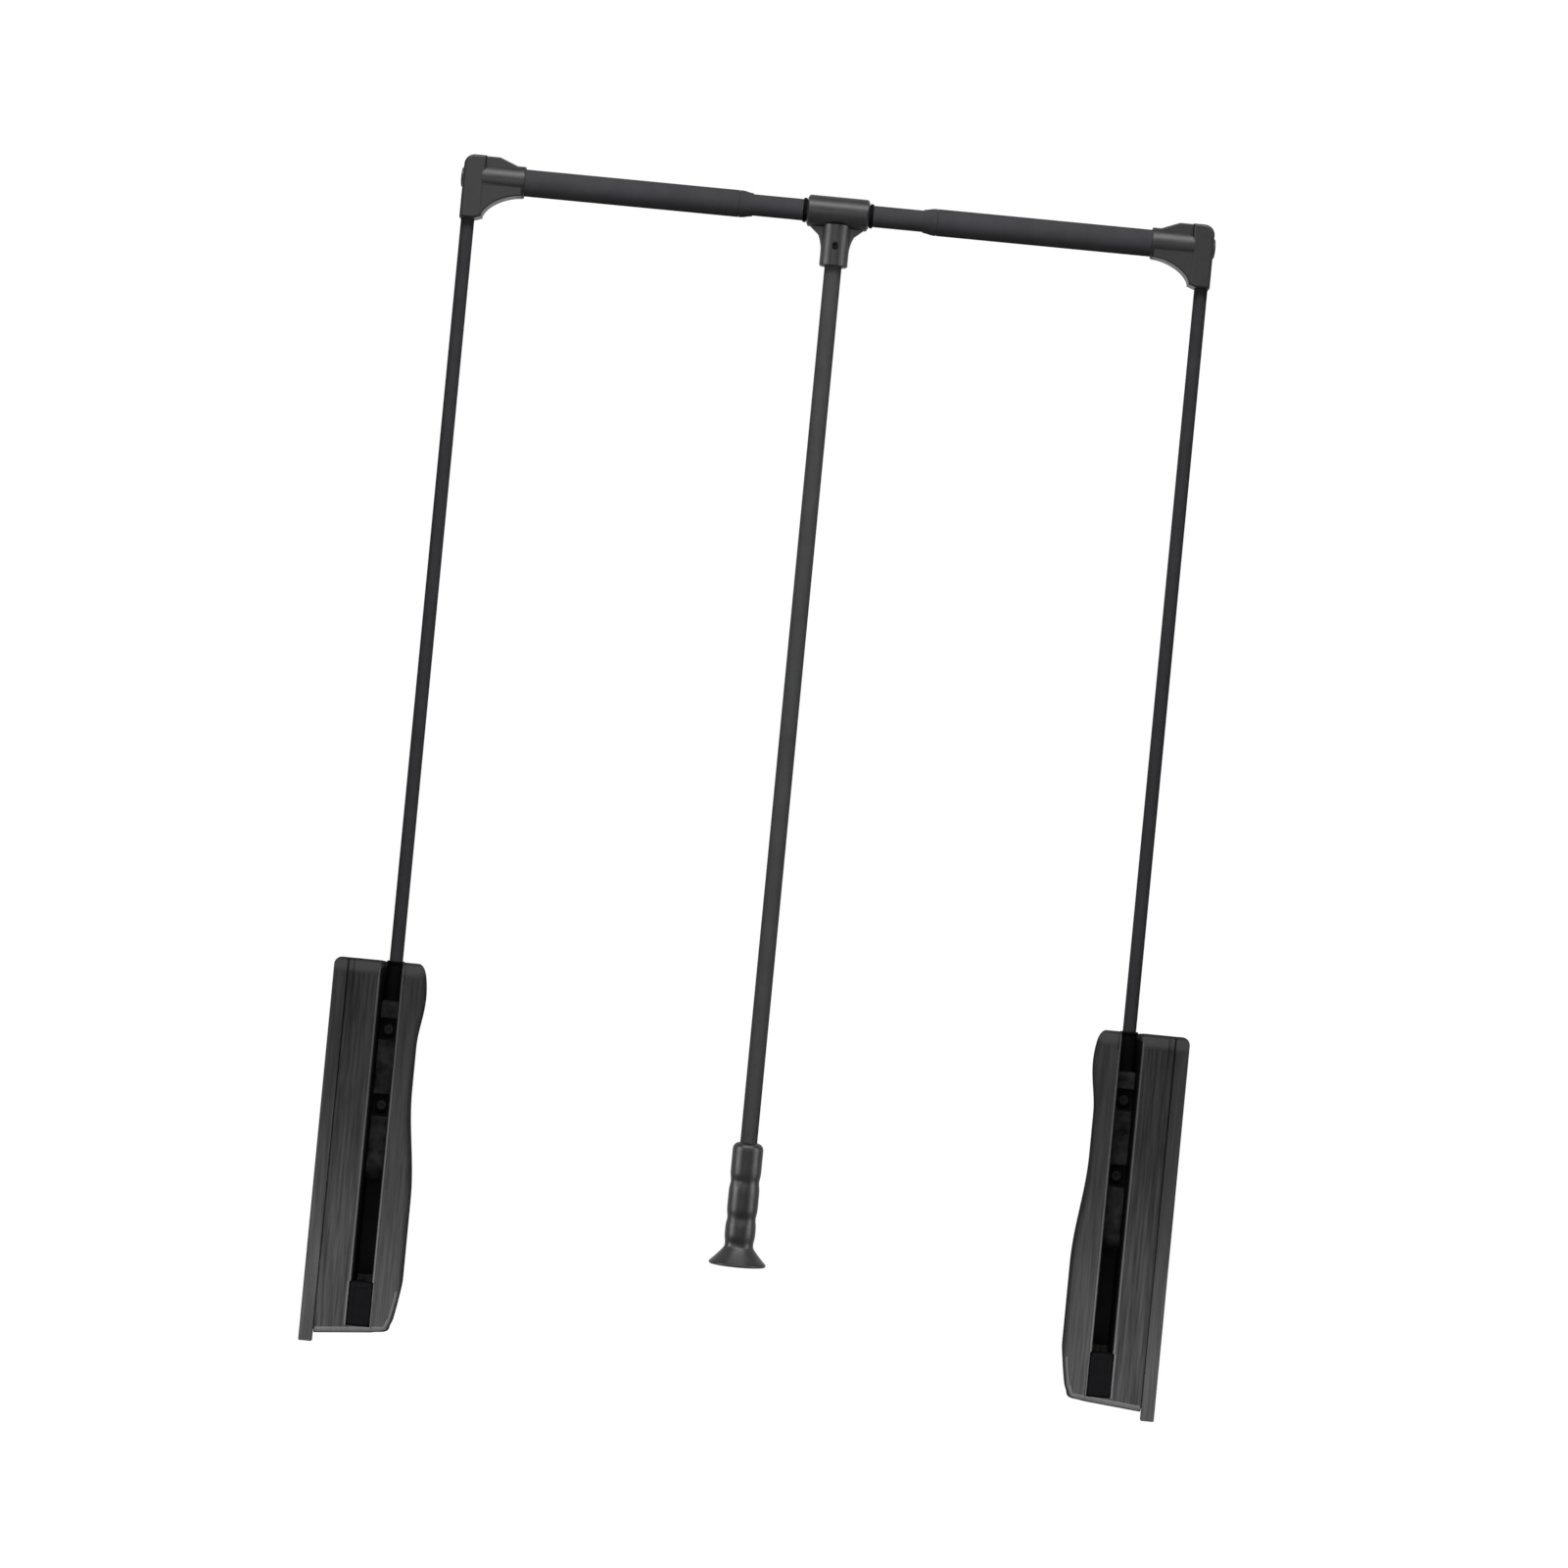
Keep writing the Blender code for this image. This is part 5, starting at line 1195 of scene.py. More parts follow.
    def cover(self) -> Solid:
        """Room side cover: a smooth waisted shell with two deep screw holes at its back.

        Returns:
            The linked object.
        """
        foot = self.foot(self.belly_reach)
        rings: list[Ring] = []
        for sunk, drawn in quarter_round(self.foot_edge, self.edge_steps):
            section = self.cover_section(foot, 0.0, drawn)
            rings.append([(self.side.x(reach - drawn * (reach > self.cover_near)), depth,
                           self.foot(reach) + sunk) for reach, depth in section])
        low, high = foot + 2 * self.foot_edge, self.top_levels()[0][0]
        for step in range(self.cover_rings):
            height = low + (high - low) * step / self.cover_rings
            rings.append(self.level(self.cover_section(height, 0.0), height))
        for height, drawn in self.top_levels():
            rings.append(self.rising(self.cover_section(height, 0.0, drawn), height))
        obj = loft(self.side.named("room_cover"), rings)
        inner_low, inner_high = foot + self.foot_edge, self.top - self.wall
        heights = [inner_low + (inner_high - inner_low) * step / self.hollow_rings
                   for step in range(self.hollow_rings + 1)]
        inner = [self.level(self.cover_section(height, self.wall), height) for height in heights]
        hollow = loft(self.side.named("cover_hollow"), inner)
        screws = (self.screw_inset, self.top - self.screw_inset)
        shape(hollow, Combine.CUT, *[self.screw_post(height) for height in screws])
        return shape(obj, Combine.CUT, hollow, *[self.screw_well(height) for height in screws])

    def level(self, outline: Outline, height: float) -> Ring:
        """Ring of a plan outline at one height."""
        return [(self.side.x(reach), depth, height) for reach, depth in outline]

    def rising(self, outline: Outline, height: float) -> Ring:
        """Ring of a plan outline whose height rises towards the front, as the housing's top does."""
        return [(x, depth, up + self.rise(depth)) for x, depth, up in self.level(outline, height)]

    def rise(self, depth: float) -> float:
        """How far the top lies above its back edge at a depth."""
        return self.top_rise * (BACK - depth) / (BACK - FRONT)

    def screw_post(self, height: float) -> Solid:
        """Post round a cover screw, left standing in the hollow.

        Args:
            height: World height of the screw.

        Returns:
            The linked object.
        """
        ends = (self.cover_near - 2 * OVERCUT, self.belly_reach + OVERCUT)
        return cylinder(self.side.named("screw_post"), self.screw_head / 2 + self.boss_wall, ends,
                        (self.side.x(0.0), self.screw_y, height), self.side.inward(), SMALL)

    def screw_well(self, height: float) -> Solid:
        """Deep counterbore over a cover screw, with the screw's own hole below.

        Args:
            height: World height of the screw.

        Returns:
            The linked object.
        """
        head, shank = self.screw_head / 2, self.screw_shank / 2 + FIT
        start, end = self.cover_near - OVERCUT, self.belly_reach + OVERCUT
        seat = self.cover_reach(height) - self.draft - self.screw_sink
        profile = [(0.0, start), (shank, start), (shank, seat), (head, seat), (head, end), (0.0, end)]
        return lathe(self.side.named("screw_well"), profile, (self.side.x(0.0), self.screw_y, height),
                     self.side.inward(), SMALL)

    def cover_screw(self, row: str) -> Solid:
        """Pan head screw with a cross recess.

        Args:
            row: Which of the two screws.

        Returns:
            The linked object.
        """
        node = f"cover_screw_{row}"
        middle = middle_of(self.side.named(node))
        tip, top = self.side.reaches(node)
        head, shank, crown = self.screw_head / 2 - FIT, self.screw_shank / 2, self.screw_crown
        seat = top - self.screw_rise
        profile = [(0.0, top)] + arc((head - crown, top - crown), crown, 90, 0, steps=5)
        profile += [(head, seat), (shank, seat), (shank, tip + shank), (0.0, tip)]
        screw = lathe(self.side.named(f"pan_screw_{row}"), profile,
                      (self.side.x(0.0), middle.y, middle.z), self.side.inward(), SMALL)
        length, width = self.cross_length / 2, self.cross_width / 2
        cross = [self.block(f"cross_{index}", (top - self.cross_depth, top + OVERCUT),
                            (middle.y - long, middle.y + long), (middle.z - tall, middle.z + tall))
                 for index, (long, tall) in enumerate(((length, width), (width, length)))]
        return shape(screw, Combine.CUT, *cross)

    def buffer(self) -> Solid:
        """Rubber buffer with rounded edges and a sunk front panel.

        Returns:
            The linked object.
        """
        low, high = self.stop_low, self.stop_high
        reaches = self.side.reaches("slot_stop")
        obj = self.block("slot_buffer", reaches, (low.y, high.y), (low.z, high.z), self.stop_round)
        rim = 2 * self.stop_round
        panel = self.block("buffer_panel", (reaches[0] + rim, reaches[1] - rim),
                           (low.y - OVERCUT, low.y + self.stop_panel), (low.z + rim, high.z - rim))
        return shape(obj, Combine.CUT, panel)


@dataclass
class SwingArm(SubAssembly):
    """Lever, clamp screws, arm tube, black boot as painted shade, elbow and elbow cap of one side."""
    side: Side
    lever_depth: float = 24.0 * MM
    hub_radius: float = 15.0 * MM
    lever_round: float = 4.0 * MM
    lever_edge: float = 1.0 * MM
    socket_start: float = 32.0 * MM
    screw_head: float = 8.0 * MM
    screw_rise: float = 2.2 * MM
    screw_crown: float = 0.6 * MM
    screw_shank: float = 5.0 * MM
    hex_key: float = 4.0 * MM
    hex_share: float = 0.8
    recess_length: float = 19.0 * MM
    recess_depth: float = 5.5 * MM
    boss_wall: float = 0.6 * MM
    screw_sink: float = 3.4 * MM
    arm_wall: float = 1.5 * MM
    arm_edge: float = 0.3 * MM
    elbow_corner: float = 8.5 * MM
    elbow_edge: float = 2.2 * MM
    elbow_block: float = 11.4 * MM
    elbow_depth: float = 24.0 * MM
    elbow_web: float = 23.4 * MM
    elbow_crest: float = 17.0 * MM
    elbow_web_edge: float = 1.2 * MM
    elbow_step: float = 0.3 * MM
    elbow_ridge: float = 22.4 * MM
    elbow_shoulder: float = 37.4 * MM
    elbow_foot_rise: float = 2.2 * MM
    sleeve_wall: float = 1.7 * MM
    mouth_round: float = 0.8 * MM
    gusset_power: float = 1.7
    cap_edge: float = 0.8 * MM
    cap_shank: float = 2.5 * MM
    cap_step: int = 10
    boot_wall: float = 0.8 * MM
    boot_flare: float = 1.9 * MM
    boot_rise: float = 3.6 * MM
    boot_lip: float = 4.0 * MM
    boot_steps: int = 6
    boot_share: float = 0.75

    def __post_init__(self) -> None:
        """Read the places that the frame gives."""
        self.body = self.side.named("frame")
        self.arm_low, self.arm_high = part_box(self.side.named("arm"))
        middle = (self.arm_low + self.arm_high) / 2
        self.arm_x, self.arm_y = middle.x, middle.y
        self.arm_foot = (middle.x, middle.y, 0.0)
        self.arm_radius = (self.arm_high.y - self.arm_low.y) / 2
        self.arm_reach = HALF_WIDTH - abs(self.arm_x)
        self.lever_low, self.lever_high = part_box(self.side.named("arm_lever"))
        shaft_low, shaft_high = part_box(self.side.named("pivot_shaft"))
        self.shaft_radius = (shaft_high.z - shaft_low.z) / 2
        self.pivot_z = self.lever_low.z + self.hub_radius
        rail_low, rail_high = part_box(self.side.named("rail_tube"))
        self.rail_z = (rail_low.z + rail_high.z) / 2
        self.rail_radius = (rail_high.z - rail_low.z) / 2
        self.elbow_low, self.elbow_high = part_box(self.side.named("elbow"))

    def build(self) -> None:
        """Make the lever, its screws, the arm, its boot, the elbow and its cap."""
        # The lever's recesses are marked flat black as painted shade
        self.add(self.paint_recess_shade(self.lever()), LEVER_FINISH, self.body, self.side.named("arm_lever"),
                 marked=PAINTED_SHADE_FINISH)
        for row in ROWS:
            self.add(self.clamp_screw(row), OXIDE_FINISH, self.body, self.side.named(f"lever_screw_{row}"))
        self.add(self.arm(), ARM_FINISH, self.body, self.side.named("arm"))
        # Black sleeve on the arm in the slot: painted shade
        self.add(self.shade_boot(), RUBBER_FINISH, self.body)
        self.add(self.elbow(), FITTING_FINISH, self.body, self.side.named("elbow"))
        self.add(self.cap(), FITTING_FINISH, self.body, self.side.named("elbow_cap"))

    def lever(self) -> Solid:
        """Blacked casting: round hub below, square socket for the arm above, recessed at its screws.

        Returns:
            The linked object.
        """
        half, corner = self.lever_depth / 2, self.lever_round
        shoulder, top = self.pivot_z + self.socket_start, self.lever_high.z
        outline = arc((self.arm_y, self.pivot_z), self.hub_radius, 190, 350, steps=20)
        outline.append((self.arm_y + half, shoulder))
        outline += arc((self.arm_y + half - corner, top - corner), corner, 0, 90, steps=6)
        outline += arc((self.arm_y - half + corner, top - corner), corner, 90, 180, steps=6)
        outline.append((self.arm_y - half, shoulder))
        obj = prism(self.side.named("lever"), outline, Axis.X, (self.lever_low.x, self.lever_high.x),
                    self.lever_edge)
        socket = cylinder(self.side.named("lever_socket"), self.arm_radius + FIT, (shoulder, top + OVERCUT),
                          self.arm_foot, UP, MEDIUM)
        bore = cylinder(self.side.named("lever_bore"), self.shaft_radius + FIT,
                        (-self.lever_depth, self.lever_depth), (self.arm_x, self.arm_y, self.pivot_z), RIGHT,
                        MEDIUM)
        recesses = [cutter for row in ROWS for cutter in self.screw_recess(row)]
        return shape(obj, Combine.CUT, socket, bore, *recesses)

    def screw_recess(self, row: str) -> list[Solid]:
        """What a clamp screw takes away: its stepped hole, and a notch round the boss that it sits in.

        Args:
            row: Which of the two screws.

        Returns:
            The two linked objects.
        """
        half = self.lever_depth / 2
        front = self.arm_y - half
        height = middle_of(self.side.named(f"lever_screw_{row}")).z
        centre = (self.arm_x, front, height)
        head, shank = self.screw_head / 2 + FIT, self.screw_shank / 2 + FIT
        well = lathe(self.side.named(f"screw_well_{row}"),
                     [(0.0, -OVERCUT), (head, -OVERCUT), (head, self.screw_sink), (shank, self.screw_sink),
                      (shank, half), (0.0, half)], centre, BACKWARD, SMALL)
        rise, deep = self.recess_length / 2, front + self.recess_depth
        outline = [(front - OVERCUT, height - rise), (deep, height - rise + self.lever_round),
                   (deep, height + rise), (front - OVERCUT, height + rise)]
        notch = prism(self.side.named(f"notch_{row}"), outline, Axis.X,
                      (self.lever_low.x - OVERCUT, self.lever_high.x + OVERCUT))
        boss = cylinder(self.side.named(f"boss_{row}"), head + self.boss_wall, (self.screw_sink, half),
                        centre, BACKWARD, SMALL)
        return [well, shape(notch, Combine.CUT, boss)]

    def paint_recess_shade(self, obj: Solid) -> Solid:
        """Mark the recesses in flat black, a painted shade, against the casting's paler raised faces.

        Args:
            obj: The lever's mesh object.

        Returns:
            The same object.
        """
        front = self.arm_y - self.lever_depth / 2
        for row in ROWS:
            height = middle_of(self.side.named(f"lever_screw_{row}")).z
            for face in obj.data.polygons:
                sunk = front + FIT < face.center.y < front + self.recess_depth + FIT
                if sunk and abs(face.center.z - height) < self.recess_length / 2:
                    face.material_index = 1
        return obj

    def clamp_screw(self, row: str) -> Solid:
        """Socket screw that clamps the arm, with its hexagon.

        Args:
            row: Which of the two screws.

        Returns:
            The linked object.
        """
        node = self.side.named(f"lever_screw_{row}")
        low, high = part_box(node)
        middle = (low + high) / 2
        face = (middle.x, low.y, middle.z)
        head, shank, crown = self.screw_head / 2, self.screw_shank / 2, self.screw_crown
        seat, length = self.screw_rise, high.y - low.y
        profile = [(0.0, 0.0)] + arc((head - crown, crown), crown, -90, 0, steps=5)
        profile += [(head, seat), (shank, seat), (shank, length), (0.0, length)]
        screw = lathe(self.side.named(f"clamp_screw_{row}"), profile, face, BACKWARD, SMALL)
        hexagon = hex_socket(f"{node}_hexagon", self.hex_key, self.screw_rise * self.hex_share, face)
        return shape(screw, Combine.CUT, hexagon)

    def arm(self) -> Solid:
        """Thin powder coated tube.

        Returns:
            The linked object.
        """
        outer, inner, edge = self.arm_radius, self.arm_radius - self.arm_wall, self.arm_edge
        low, high = self.arm_low.z, self.arm_high.z
        profile = [(outer, high - edge), (outer - edge, high), (inner, high), (inner, low),
                   (outer - edge, low), (outer, low + edge)]
        return lathe(self.side.named("arm_tube"), profile, self.arm_foot, UP, MEDIUM, ring=True)

    def shade_boot(self) -> Solid:
        """Black rubber sleeve on the arm above its lever, flared where the arm leaves the housing: a painted
        shade for the arm inside the slot.

        Returns:
            The linked object.
        """
        inner, outer = self.arm_radius, self.arm_radius + self.boot_wall
        flare = self.arm_radius + self.boot_flare
        low = self.lever_high.z + FIT
        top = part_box(self.side.named("outer_shell"))[1].z + self.boot_rise
        shares = [step / self.boot_steps for step in range(self.boot_steps + 1)]
        swell = [(outer + (flare - outer) * ease(share), top - self.boot_lip * (1 - self.boot_share * share))
                 for share in shares]
        crown = arc((flare - self.boot_wall, top - self.boot_wall), self.boot_wall, 0, 90, steps=4)
        profile = [(inner, low), (outer, low)] + swell + crown + [(inner, top - self.boot_wall / 2)]
        return lathe(self.side.named("arm_shade_boot"), profile, self.arm_foot, UP, MEDIUM, ring=True)

    def elbow(self) -> Solid:
        """Moulded corner: crowned block on the arm, sleeve on the rail and a hollow-backed gusset.

        Returns:
            The linked object.
        """
        reaches = self.side.reaches("elbow")
        outer = reaches[0] - self.arm_reach
        mouth = reaches[1] - self.arm_reach
        low, high = self.elbow_low.z, self.elbow_high.z
        half = self.elbow_depth / 2
        foot = low + self.elbow_foot_rise
        block = [(outer, low, 0.0), (self.arm_radius, low, 0.0), (self.elbow_block, foot, 0.0),
                 (self.elbow_block, high, 0.0), (outer, high, self.elbow_corner)]
        obj = self.fitted("elbow_block", rounded(block, steps=8), half, self.elbow_edge)
        radius = self.rail_radius + FIT + self.sleeve_wall
        tuck = self.elbow_block - self.elbow_edge
        web_end = mouth - 2 * self.mouth_round
        root = self.elbow_block / 2
        web = [(root, foot)]
        web += hollow_curve((self.elbow_block - self.elbow_step, foot),
                            (web_end, self.rail_z - radius + self.mouth_round), self.gusset_power)
        web += [(web_end, self.rail_z + OVERCUT), (root, self.rail_z + OVERCUT)]
        gusset = self.fitted("elbow_gusset", web, self.elbow_web / 2, self.elbow_web_edge)
        brow = self.rail_z + radius - self.mouth_round
        crest = [(root, self.rail_z), (web_end, self.rail_z), (web_end, brow), (self.elbow_shoulder, brow),
                 (self.elbow_ridge, high - self.elbow_step), (root, high - self.elbow_step)]
        ridge = self.fitted("elbow_ridge", crest, self.elbow_crest / 2, self.elbow_web_edge)
        profile = [(0.0, tuck), (radius, tuck)]
        lip = (radius - self.mouth_round, mouth - self.mouth_round)
        profile += arc(lip, self.mouth_round, 0, 90, steps=5)
        profile.append((0.0, mouth))
        sleeve = lathe(self.side.named("elbow_sleeve"), profile, (self.arm_x, self.arm_y, self.rail_z),
                       self.side.inward(), FINE)
        shape(obj, Combine.JOIN, gusset, ridge, sleeve)
        tube_reach = self.side.reaches("rail_tube")[0] - self.arm_reach - FIT
        rail_socket = cylinder(self.side.named("rail_socket"), self.rail_radius + FIT,
                               (tube_reach, mouth + OVERCUT), (self.arm_x, self.arm_y, self.rail_z),
                               self.side.inward())
        arm_socket = cylinder(self.side.named("arm_socket"), self.arm_radius + FIT,
                              (low - OVERCUT, self.arm_high.z + FIT), self.arm_foot, UP, MEDIUM)
        return shape(obj, Combine.CUT, rail_socket, arm_socket)

    def fitted(self, name: str, outline: Outline, half: float, edge: float) -> Solid:
        """Prism about the arm's plane from an outline measured from the arm's axis.

        Args:
            name: Name of the piece on this side.
            outline: (distance inward from the arm, world height) points.
            half: Half of its depth.
            edge: Radius of its front and back edges.

        Returns:
            The linked object.
        """
        placed = [(self.side.x(self.arm_reach + across), up) for across, up in outline]
        return prism(self.side.named(name), placed, Axis.Y, (self.arm_y - half, self.arm_y + half), edge)

    def cap(self) -> Solid:
        """Domed screw head on the outer face of the elbow.

        Returns:
            The linked object.
        """
        low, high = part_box(self.side.named("elbow_cap"))
        middle, rim = (low + high) / 2, (high.z - low.z) / 2
        top, tip = self.side.reaches("elbow_cap")
        seat = self.side.reaches("elbow")[0] - FIT
        rise = seat - top - self.cap_edge
        dome = [(rim * math.cos(math.radians(turn)), top + rise * (1 - math.sin(math.radians(turn))))
                for turn in range(90, -1, -self.cap_step)]
        shank = self.cap_shank
        profile = [(0.0, dome[0][1])] + dome[1:] + [(rim, seat), (shank, seat), (shank, tip), (0.0, tip)]
        return lathe(self.side.named("dome_screw"), profile, (self.side.x(0.0), middle.y, middle.z),
                     self.side.inward(), MEDIUM)


@dataclass
class HangingRail(SubAssembly):
    """Telescopic rail: two outer tubes with tapered collars, the inner tube and its stop rings."""
    outer_wall: float = 0.9 * MM
    inner_wall: float = 1.2 * MM
    edge: float = 0.25 * MM
    nose_length: float = 11.0 * MM
    nose_wall: float = 0.5 * MM
    nose_steps: int = 12
    nose_pace: float = 1.15
    spigot_gap: float = 1.2 * MM
    ring_round: float = 0.8 * MM

    def __post_init__(self) -> None:
        """Read the rail's axis from the inner tube."""
        low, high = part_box("inner_rail_tube")
        self.middle = (low + high) / 2
        self.inner_radius = (high.z - low.z) / 2
        self.inner_half = (high.x - low.x) / 2

    def build(self) -> None:
        """Make the five tubes and collars and the two rings."""
        for side in Side:
            body = side.named("frame")
            self.add(self.outer_tube(side), TUBE_FINISH, body, side.named("rail_tube"))
            self.add(self.collar(side), TUBE_FINISH, body, side.named("rail_collar"))
            self.add(self.stop_ring(side), RUBBER_FINISH, "inner_rail", side.named("stop_ring"))
        self.add(self.inner_tube(), TUBE_FINISH, "inner_rail", "inner_rail_tube")

    def span(self, side: Side, node: str) -> tuple[float, float, float]:
        """Start, end and radius of a turned node, measured outwards from the middle of the rail.

        Args:
            side: The tube's side.
            node: The node's name without its side.

        Returns:
            The two distances and the radius.
        """
        low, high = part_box(side.named(node))
        ends = sorted((abs(low.x - self.middle.x), abs(high.x - self.middle.x)))
        return ends[0], ends[1], (high.z - low.z) / 2

    def outer_tube(self, side: Side) -> Solid:
        """Outer rail tube.

        Args:
            side: The side that it is on.

        Returns:
            The linked object.
        """
        start, end, radius = self.span(side, "rail_tube")
        inner = radius - self.outer_wall
        profile = [(radius, start + self.edge), (radius - self.edge, start), (inner, start), (inner, end),
                   (radius, end)]
        return lathe(side.named("outer_tube"), profile, self.middle, -side.inward(), FINE, ring=True)

    def collar(self, side: Side) -> Solid:
        """Collar that tapers from the outer tube down to the inner one.

        Args:
            side: The side that it is on.

        Returns:
            The linked object.
        """
        start, end, radius = self.span(side, "rail_collar")
        bore = self.inner_radius + FIT
        shoulder = start + self.nose_length
        lip = bore + self.nose_wall
        shares = [step / self.nose_steps for step in range(self.nose_steps + 1)]
        nose = [(lip + (radius - lip) * ease(share * self.nose_pace), start + self.nose_length * share)
                for share in shares]
        spigot = radius - self.spigot_gap
        profile = nose + [(spigot, shoulder), (spigot, end), (bore, end), (bore, start)]
        return lathe(side.named("taper_collar"), profile, self.middle, -side.inward(), FINE, ring=True)

    def stop_ring(self, side: Side) -> Solid:
        """Rubber ring beside the tee.

        Args:
            side: The side that it is on.

        Returns:
            The linked object.
        """
        start, end, radius = self.span(side, "stop_ring")
        bore = self.inner_radius + FIT
        profile = arc((radius - self.ring_round, start + self.ring_round), self.ring_round, -90, 0, steps=5)
        profile += arc((radius - self.ring_round, end - self.ring_round), self.ring_round, 0, 90, steps=5)
        return lathe(side.named("rubber_ring"), profile + [(bore, end), (bore, start)], self.middle,
                     -side.inward(), FINE, ring=True)

    def inner_tube(self) -> Solid:
        """Inner rail tube.

        Returns:
            The linked object.
        """
        radius, half = self.inner_radius, self.inner_half
        inner = radius - self.inner_wall
        profile = [(radius, -half + self.edge), (radius, half - self.edge), (radius - self.edge, half),
                   (inner, half), (inner, -half), (radius - self.edge, -half)]
        return lathe("inner_tube", profile, self.middle, RIGHT, FINE, ring=True)


@dataclass
class PullHandle(SubAssembly):
    """Tee on the rail, its screw, the pull rod and the grip."""
    sleeve_chamfer: float = 2.6 * MM
    sleeve_setback: float = 1.3 * MM
    sleeve_crown: float = 0.325 * MM
    rail_gap: float = 0.3 * MM
    web_depth: float = 7.0 * MM
    web_edge: float = 1.0 * MM
    gusset_drop: float = 32.0 * MM
    gusset_knee: float = 18.0 * MM
    gusset_power: float = 1.85
    post_wall: float = 4.3 * MM
    post_chamfer: float = 1.0 * MM
    rod_wall: float = 1.5 * MM
    screw_diameter: float = 4.0 * MM
    screw_slot: float = 1.0 * MM
    screw_edge: float = 0.3 * MM
    hex_key: float = 2.0 * MM
    grip_edge: float = 5.6 * MM
    edge_steps: int = 6
    grip_rings: int = 60
    grip_valleys: tuple[float, ...] = (158.5 * MM, 128.5 * MM, 107.5 * MM)
    valley_depth: float = 0.9 * MM
    valley_width: float = 4.5 * MM
    dent_depth: float = 1.0 * MM
    dent_width: float = 3.6 * MM
    dent_spread: float = math.radians(22.0)
    dent_turns: tuple[float, ...] = (math.radians(-24.0), math.radians(3.0), math.radians(-19.0))
    cone_height: float = 15.0 * MM
    cone_rings: int = 8
    cone_power: float = 1.15
    rim_height: float = 2.6 * MM
    foot_ring: float = 7.8 * MM
    foot_slope: float = 1.04 * MM
    foot_hollow: float = 0.8 * MM
    grip_diameter: float = 25.2 * MM

    def __post_init__(self) -> None:
        """Read the places that the frame gives."""
        self.body = "pull_handle"
        rail_low, rail_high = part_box("inner_rail_tube")
        self.rail = (rail_low + rail_high) / 2
        self.rail_radius = (rail_high.z - rail_low.z) / 2
        self.tee_low, self.tee_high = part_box("tee")
        self.rod_low, self.rod_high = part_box("pull_rod")
        self.rod_radius = (self.rod_high.x - self.rod_low.x) / 2
        self.grip_low, self.grip_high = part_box("grip")
        self.screw_z = middle_of("tee_screw").z
        self.screw_hole = self.screw_diameter / 2 + FIT
        self.rod_foot = (self.rail.x, self.rail.y, 0.0)

    def build(self) -> None:
        """Make the tee, its screw, the rod and the grip."""
        self.add(self.tee(), FITTING_FINISH, self.body, "tee")
        self.add(self.grub_screw(), OXIDE_FINISH, self.body, "tee_screw")
        self.add(self.rod(), POLE_FINISH, self.body, "pull_rod")
        self.add(self.grip(), FITTING_FINISH, self.body, "grip")

    def tee(self) -> Solid:
        """Moulded tee: chamfered sleeve, thin gusset plate and a round post.

        Returns:
            The linked object.
        """
        half = (self.tee_high.x - self.tee_low.x) / 2
        radius = self.tee_high.z - self.rail.z
        bore = self.rail_radius + self.rail_gap
        bevel, setback, chamfer = self.sleeve_chamfer, self.sleeve_setback, self.post_chamfer
        profile = [(bore, half), (radius - bevel, half), (radius - self.sleeve_crown, half - setback),
                   (radius, half - 2 * setback)]
        profile += [(r, -along) for r, along in reversed(profile)]
        obj = lathe("tee_sleeve", profile, self.rail, RIGHT, FINE, ring=True)
        low = self.tee_low.z
        under = self.rail.z - radius + bevel
        post_radius = self.rod_radius + FIT + self.post_wall
        tip = (half - setback / 2, under)
        curve = hollow_curve((post_radius, self.rail.z - self.gusset_drop), tip, self.gusset_power)
        right = [(post_radius - OVERCUT, low + 2 * self.web_edge)]
        right += [point for point in curve if point[1] < self.rail.z - self.gusset_knee] + [tip]
        outline = right + [(-across, up) for across, up in reversed(right)]
        depths = (self.rail.y - self.web_depth / 2, self.rail.y + self.web_depth / 2)
        web = prism("tee_gusset", outline, Axis.Y, depths, self.web_edge)
        post = lathe("tee_post", [(0.0, low), (post_radius - chamfer, low), (post_radius, low + chamfer),
                                  (post_radius, under), (0.0, under)], self.rod_foot, UP, FINE)
        shape(obj, Combine.JOIN, web, post)
        socket = cylinder("rod_socket", self.rod_radius + FIT, (low - OVERCUT, self.rod_high.z + FIT),
                          self.rod_foot, UP)
        rail_bore = cylinder("tee_bore", bore, (-half - OVERCUT, half + OVERCUT), self.rail, RIGHT)
        oval = arc((self.rail.x, self.screw_z + self.screw_slot), self.screw_hole, 0, 180, steps=12)
        oval += arc((self.rail.x, self.screw_z - self.screw_slot), self.screw_hole, 180, 360, steps=12)
        screw_hole = prism("tee_screw_hole", oval, Axis.Y,
                           (self.rail.y - post_radius - OVERCUT, self.rail.y))
        return shape(obj, Combine.CUT, socket, rail_bore, screw_hole)

    def grub_screw(self) -> Solid:
        """Grub screw sunk in the tee's front, with its hexagon.

        Returns:
            The linked object.
        """
        low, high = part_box("tee_screw")
        middle = (low + high) / 2
        face = (middle.x, low.y, middle.z)
        shank, edge, length = self.screw_diameter / 2, self.screw_edge, high.y - low.y
        profile = [(0.0, 0.0), (shank - edge, 0.0), (shank, edge), (shank, length - shank / 2),
                   (shank / 2, length), (0.0, length)]
        screw = lathe("grub_screw", profile, face, BACKWARD, SMALL)
        return shape(screw, Combine.CUT, hex_socket("grub_hexagon", self.hex_key, length / 2, face))

    def rod(self) -> Solid:
        """Pull rod, drilled for the tee's screw.

        Returns:
            The linked object.
        """
        outer, inner = self.rod_radius, self.rod_radius - self.rod_wall
        low, high = self.rod_low.z, self.rod_high.z
        obj = lathe("pull_tube", [(outer, high), (inner, high), (inner, low), (outer, low)], self.rod_foot,
                    UP, FINE, ring=True)
        drill = cylinder("rod_drill", self.screw_hole, (0.0, outer + OVERCUT),
                         (self.rail.x, self.rail.y, self.screw_z), FORWARD, SMALL)
        return shape(obj, Combine.CUT, drill)

